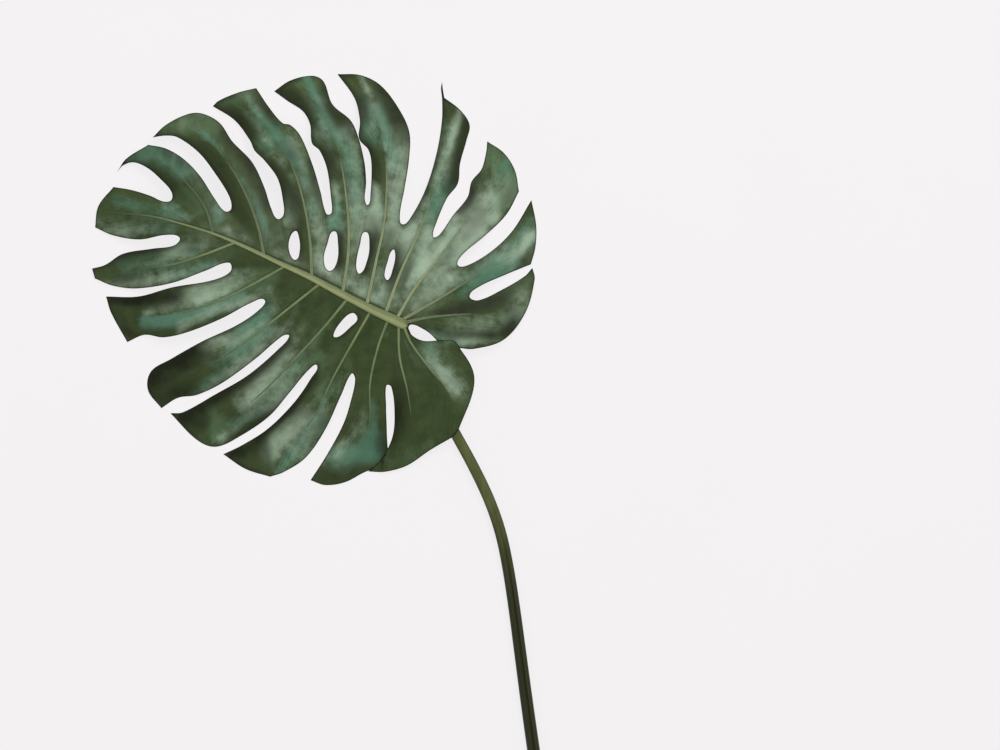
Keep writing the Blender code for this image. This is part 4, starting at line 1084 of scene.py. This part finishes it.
def makeMidrib(material):
    plan = midribPlan
    path = veinPath("tip", plan["step"])[: -plan["leftOff"]]
    share = np.linspace(0, 1, len(path))
    outward = (path[0] - path[2]) / np.hypot(*(path[0] - path[2]))
    lead = np.array(plan["lead"])
    comes, goes = plan["leaning"]
    lean = plan["lean"] * smoothRise(*comes, share) * (1 - smoothRise(*goes, share))
    path = beside(path, lean[:, None])
    path = np.vstack([path[0] + lead[:, None] * outward, path])
    share = np.concatenate([0 * lead, share])
    run = np.concatenate([lead[0] - lead, lead[0] + np.arange(len(path) - len(lead)) * plan["step"]])
    rounded = np.sqrt(np.clip(1 - np.clip(1 - run / plan["roundEnd"], 0, 1) ** 2, 0.003, 1))
    spots, height = surfaceLine(path)
    width = ribHalfWidth(share) * rounded
    proud = plan["proud"] * (1 - plan["fade"] * share) * rounded
    band = np.column_stack([spots, height + proud - width * plan["flatness"]])
    keelWidth = plan["keelHalfWidth"] * (1 - plan["fade"] * share**0.8)
    keelWidth *= np.maximum(rounded, plan["keelEnd"])
    keelHeight = height - bladePlan["thickness"] - plan["keelDrop"] * (1 - share)
    keel = np.column_stack([spots, np.maximum(keelHeight, keelWidth + plan["keelClearance"])])
    upper = sweptPiece("midrib", [(band, width, 1)], material, Step=0.001, Sides=24,
                       Flatness=plan["flatness"])
    lower = sweptPiece("midribKeel", [(keel, keelWidth, 1)], material, Step=0.002, Sides=16)
    return upper, lower


petiolePlan = {
    "topRadius": 5.0,
    "endRadius": 6.6,
    "kneeRadius": 6.3,
    "kneeLength": 62.0,
    "kneeTaper": 0.55,     # from this share of its length the knee narrows
    "kneeBend": 8.0,
    "kneePoints": 9,
    "intoPad": 1.5,
    "bendShare": 1.3,      # how many bends from the hub the stalk runs on plainly
    "kneeLift": 0.6,
    "restDepth": 0.35,     # how deep the flat is on which the knee rests, and its share elsewhere
    "restShare": 0.4,
    "groove": (0.10, 0.42),
    "step": 3.0,
}


def makePetiole(material, pad):
    plan = petiolePlan
    line = openCurve(fromSheet(petiolePath), plan["step"])
    run = distancesAlong(line)
    radius = np.interp(run, [0, run[-1]], [plan["topRadius"], plan["endRadius"]])
    knee = 1 - smoothRise(plan["kneeTaper"] * plan["kneeLength"], plan["kneeLength"], run)
    radius += (plan["kneeRadius"] - radius) * knee
    low = plan["kneeRadius"] - plan["restDepth"] + plan["kneeLift"]
    settle = 1 - smoothRise(plan["kneeBend"], plan["kneeLength"], run)
    lying = radius - plan["restDepth"] * plan["restShare"]
    heading = (line[3] - line[0]) / np.hypot(*(line[3] - line[0]))
    path = [(*line[0], pad + plan["intoPad"])]
    for i in range(plan["kneePoints"]):
        angle = 0.5 * math.pi * (i + 0.3) / (plan["kneePoints"] - 0.7)
        ahead = plan["kneeBend"] * (1 - math.cos(angle))
        path.append((*(line[0] + ahead * heading), low + plan["kneeBend"] * (1 - math.sin(angle))))
    widths = [plan["kneeRadius"]] * len(path)
    for at, high, size, lift, done in zip(line, lying, radius, settle, run):
        if done > plan["bendShare"] * plan["kneeBend"]:
            path.append((*at, high + (low - high) * lift))
            widths.append(size)
    depth, width = plan["groove"]
    return sweptPiece("petioleStalk", [(np.array(path), np.array(widths), 1)], material, **{
        "Step": 0.003, "Sides": 40, "Groove Depth": depth, "Groove Width": width})


leafLook = {
    "base": ((56, 70, 40), (69, 84, 49)),
    # colours of the painted highlights, reflections, light and shade, by kind
    "paintedShading": {"fresh": (86, 111, 79), "teal": (85, 128, 106), "pale": (158, 181, 158),
               "deep": (28, 33, 18)},
    "streakDrift": 0.32,       # how far streaks and mottle break up the painted sheen and shade
    "mottleDrift": 0.8,
    # what lies over the painted sheen and shade: its colour and its strength
    "darkHairs": ((36, 46, 30), 0.12),
    # pale streaks inside the painted highlights, part of the painted sheen
    "sheenStreaks": ((172, 186, 168), 0.08),
    # painted shade beside the side veins, strongest at their roots
    "shadedRim": ((30, 35, 21), 0.6),
    # painted shade in the crease along the midrib's upper edge
    "veinSideShade": ((50, 60, 36), 0.35),
    # painted shade along the very edge, where the margin turns down
    "ribCreaseShade": ((44, 54, 31), 0.85),
    "rim": ((24, 29, 18), 0.85),
    "underside": ((112, 124, 88), 1.0),
}


def makeLeafSkin():
    look, skin = leafLook, Recipe("leafSkin")
    place, flow = skin.place(), skin.attribute("flow", "Vector")
    edge, under, beyondRib = (skin.attribute(name) for name in ("edge", "under", "beyondRib"))
    streaks = skin.noise(skin.stretched(flow, (0.02, 0.75, 1.0)), 1.0, 5.0, 0.65)
    hairs = skin.noise(skin.stretched(flow, (0.05, 2.6, 1.0)), 1.0, 4.0, 0.6)
    mottle = skin.noise(place, 75.0, 4.0, 0.6)
    fine = skin.noise(place, 900.0, 3.0)

    drift = (streaks - 0.5) * look["streakDrift"] + (mottle - 0.5) * look["mottleDrift"]
    colour = skin.blend(skin.rise(mottle * 0.6 + streaks * 0.4, 0.36, 0.64), *look["base"])
    # painted sheen and shade: pale and teal painted highlights and reflections, fresh painted light, deep
    # painted shade
    sheenAndShade = {}
    for kind, wash in look["paintedShading"].items():
        strength = skin.attribute(kind)
        sheenAndShade[kind] = skin.rise(strength + drift * skin.rise(strength, 0.0, 0.3), 0.06, 0.94)
        colour = skin.blend(sheenAndShade[kind], colour, wash)

    veinSideShade = skin.rise(skin.attribute("near"), 2.9, 1.2) * skin.rise(skin.attribute("share"), 0.75, 0.05)
    ribCreaseShade = skin.rise(beyondRib, -1.6, -0.6) * skin.rise(beyondRib, 2.2, 0.4)
    for name, share in (("darkHairs", skin.rise(hairs, 0.52, 0.3)),
                        ("sheenStreaks", skin.rise(hairs, 0.5, 0.75) * (sheenAndShade["pale"] + sheenAndShade["teal"])),
                        ("shadedRim", skin.rise(edge, 6.5, 0.5) * skin.attribute("shaded")),
                        ("veinSideShade", veinSideShade),
                        ("ribCreaseShade", ribCreaseShade * skin.rise(skin.attribute("ribShare"), 0.95, 0.6)),
                        # painted shade along the very edge
                        ("rim", skin.rise(edge, 1.6, 0.3)),
                        ("underside", under)):
        wash, strength = look[name]
        colour = skin.blend(share * strength, colour, wash)

    roughness = (0.42 + streaks * 0.16 + sheenAndShade["deep"] * 0.3).clamped()
    gloss = (sheenAndShade["pale"] * 0.5 + sheenAndShade["teal"] * 0.25 + sheenAndShade["fresh"] * 0.1 + 0.04).clamped()
    relief = skin.bump(streaks * 0.6 + fine * 0.12, 0.5, 0.0005)
    return skin.feed(colour=colour, roughness=roughness, specular=0.14, coat=gloss * (1 - under),
                     coatRoughness=0.32, normal=relief)


def makeVeinSkin(half):
    skin = Recipe(half + "VeinSkin")
    mottle, turn = skin.noise(skin.place(), 60.0), skin.attribute("turn")
    share, glow = skin.attribute("share"), skin.attribute("glow")
    # painted shade in the groove along the top of the upper veins
    groove = skin.rise(abs(turn), 0.7, 0.2) * (0.6 if half == "upper" else 0.0)
    colour = skin.washed(skin.blend(skin.rise(mottle, 0.35, 0.65), *veinPlan[half]["colours"]),
                         (groove, (66, 78, 46)),
                         (1 - glow, (72, 88, 60)),
                         (skin.rise(share, 0.25, 0.8) * 0.85, (64, 86, 62)))
    return skin.feed(colour=colour, roughness=0.45, specular=0.4, normal=skin.bump(mottle, 0.2, 0.0005))


# On swept pieces turn is the angle round them: 0 on top, above 0 towards the blade's upper half
def makeMidribSkin():
    skin = Recipe("midribSkin")
    mottle = skin.noise(skin.stretched(skin.place(), (1.0, 1.0, 0.3)), 70.0)
    share, turn, run = (skin.attribute(name) for name in ("share", "turn", "run"))
    colour = skin.washed(skin.blend(skin.rise(mottle, 0.35, 0.65), (128, 138, 88), (144, 151, 100)),
                         # painted highlight along the lower side, painted shade on the upper side and the
                         # far lower flank
                         (skin.rise(turn, 0.6, -0.5) * 0.65, (166, 174, 130)),
                         (skin.rise(turn, 0.35, 1.3) * 0.75, (84, 96, 56)),
                         (skin.rise(turn, -1.0, -1.5) * 0.5, (104, 110, 68)),
                         (skin.rise(run, 0.018, 0.002) * 0.85, (104, 100, 56)),
                         (skin.rise(share, 0.3, 0.75) * 0.6, (110, 126, 88)),
                         (skin.rise(share, 0.75, 0.95) * 0.9, (58, 78, 56)))
    return skin.feed(colour=colour, roughness=0.45, specular=0.35, normal=skin.bump(mottle, 0.2, 0.0005))


# The stalk darkens towards its cut end, where a light and a dark stripe run along it. Its flanks are
# darkened with painted shade
def makeStalkSkin():
    skin = Recipe("stalkSkin")
    mottle = skin.noise(skin.stretched(skin.place(), (1.0, 0.25, 1.0)), 90.0)
    turn, lower = skin.attribute("turn"), skin.rise(skin.attribute("share"), 0.35, 0.62)
    colour = skin.washed(skin.blend(skin.rise(mottle, 0.35, 0.65), (82, 88, 48), (98, 104, 62)),
                         (lower * 0.9, (36, 42, 24)),
                         (lower * skin.rise(abs(turn + 0.55), 0.25, 0.05) * 0.5, (78, 74, 40)),
                         (lower * skin.rise(abs(turn + 0.2), 0.3, 0.08) * 0.85, (33, 24, 12)),
                         # painted shade on the flanks
                         (skin.rise(abs(turn), 0.7, 1.25) * 0.85, (24, 28, 14)))
    return skin.feed(colour=colour, roughness=0.42, specular=0.18, normal=skin.bump(mottle, 0.25, 0.0006))


def makeFloorSkin():
    skin = Recipe("floorSkin")
    colour = skin.blend(skin.noise(skin.place(), 6.0, 3.0), (87, 85, 86), (92, 90, 91))
    return skin.feed(colour=colour, roughness=0.9, specular=0.1, emission=(0.9, 0.886, 0.893, 1),
                     emissionStrength=0.905)


stagePlan = {
    # each lamp: where it is as turn, rise and distance, its size, power and colour
    "lamps": [("keyBox", (64, 50, 3.4), 1.7, 78.0, (0.99, 1.0, 0.96)),
              ("fillBox", (215, 55, 3.6), 2.6, 22.0, (1.0, 0.98, 0.93))],
    "lampTarget": (320.0, 270.0),
    "picture": (1000.0, 750.0),      # the photograph's frame, one pixel to a millimetre
    "sensorWidth": 36.0,
    "cameraHeight": 8.0,
    "leafHeight": 0.022,
    "floorSize": 44.0,
    "floorDepth": 0.0002,
    "skyColour": (1.0, 0.98, 0.93, 1),
    "skyStrength": 0.28,
}


def makeStage():
    plan, scene = stagePlan, bpy.context.scene
    bpy.ops.mesh.primitive_plane_add(size=plan["floorSize"], location=(0, 0, -plan["floorDepth"]))
    floor = bpy.context.object
    floor.name = "floor"
    floor.data.materials.append(makeFloorSkin())
    world = bpy.data.worlds.new("studio")
    world.use_nodes = True
    sky = world.node_tree.nodes["Background"].inputs
    sky["Color"].default_value = plan["skyColour"]
    sky["Strength"].default_value = plan["skyStrength"]
    scene.world = world
    target = Vector((*(fromSheet(plan["lampTarget"]) * mm), 0.0))
    for name, (turn, rise, away), size, power, colour in plan["lamps"]:
        light = bpy.data.lights.new(name, "AREA")
        light.shape, light.size, light.energy, light.color = "SQUARE", size, power, colour
        lamp = bpy.data.objects.new(name, light)
        turn, rise = math.radians(turn), math.radians(rise)
        flat, high = away * math.cos(rise), away * math.sin(rise)
        lamp.location = target + Vector((flat * math.cos(turn), flat * math.sin(turn), high))
        lamp.rotation_euler = (target - lamp.location).to_track_quat("-Z", "Y").to_euler()
        lamp.visible_camera = False
        scene.collection.objects.link(lamp)
    width, height = plan["picture"]
    lens = bpy.data.cameras.new("camera")
    lens.sensor_width = plan["sensorWidth"]
    lens.lens = plan["sensorWidth"] * plan["cameraHeight"] / (width * mm)
    lens.clip_start, lens.clip_end = 0.1, 100
    camera = bpy.data.objects.new("camera", lens)
    camera.location = (*(fromSheet((width / 2, height / 2)) * mm), plan["cameraHeight"] + plan["leafHeight"])
    scene.collection.objects.link(camera)
    scene.camera = camera
    scene.view_settings.view_transform = "Standard"


leafSkin, stalkSkin, midribSkin = makeLeafSkin(), makeStalkSkin(), makeMidribSkin()
blade, pad = makeBlade(leafSkin)
sideVeins = makeVeins()
midrib, keel = makeMidrib(midribSkin)
petiole = makePetiole(stalkSkin, pad)
for piece in (blade, *sideVeins, midrib, keel):
    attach(piece, "root")
    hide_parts("blade")
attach(petiole, "root")
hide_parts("petiole")
makeStage()
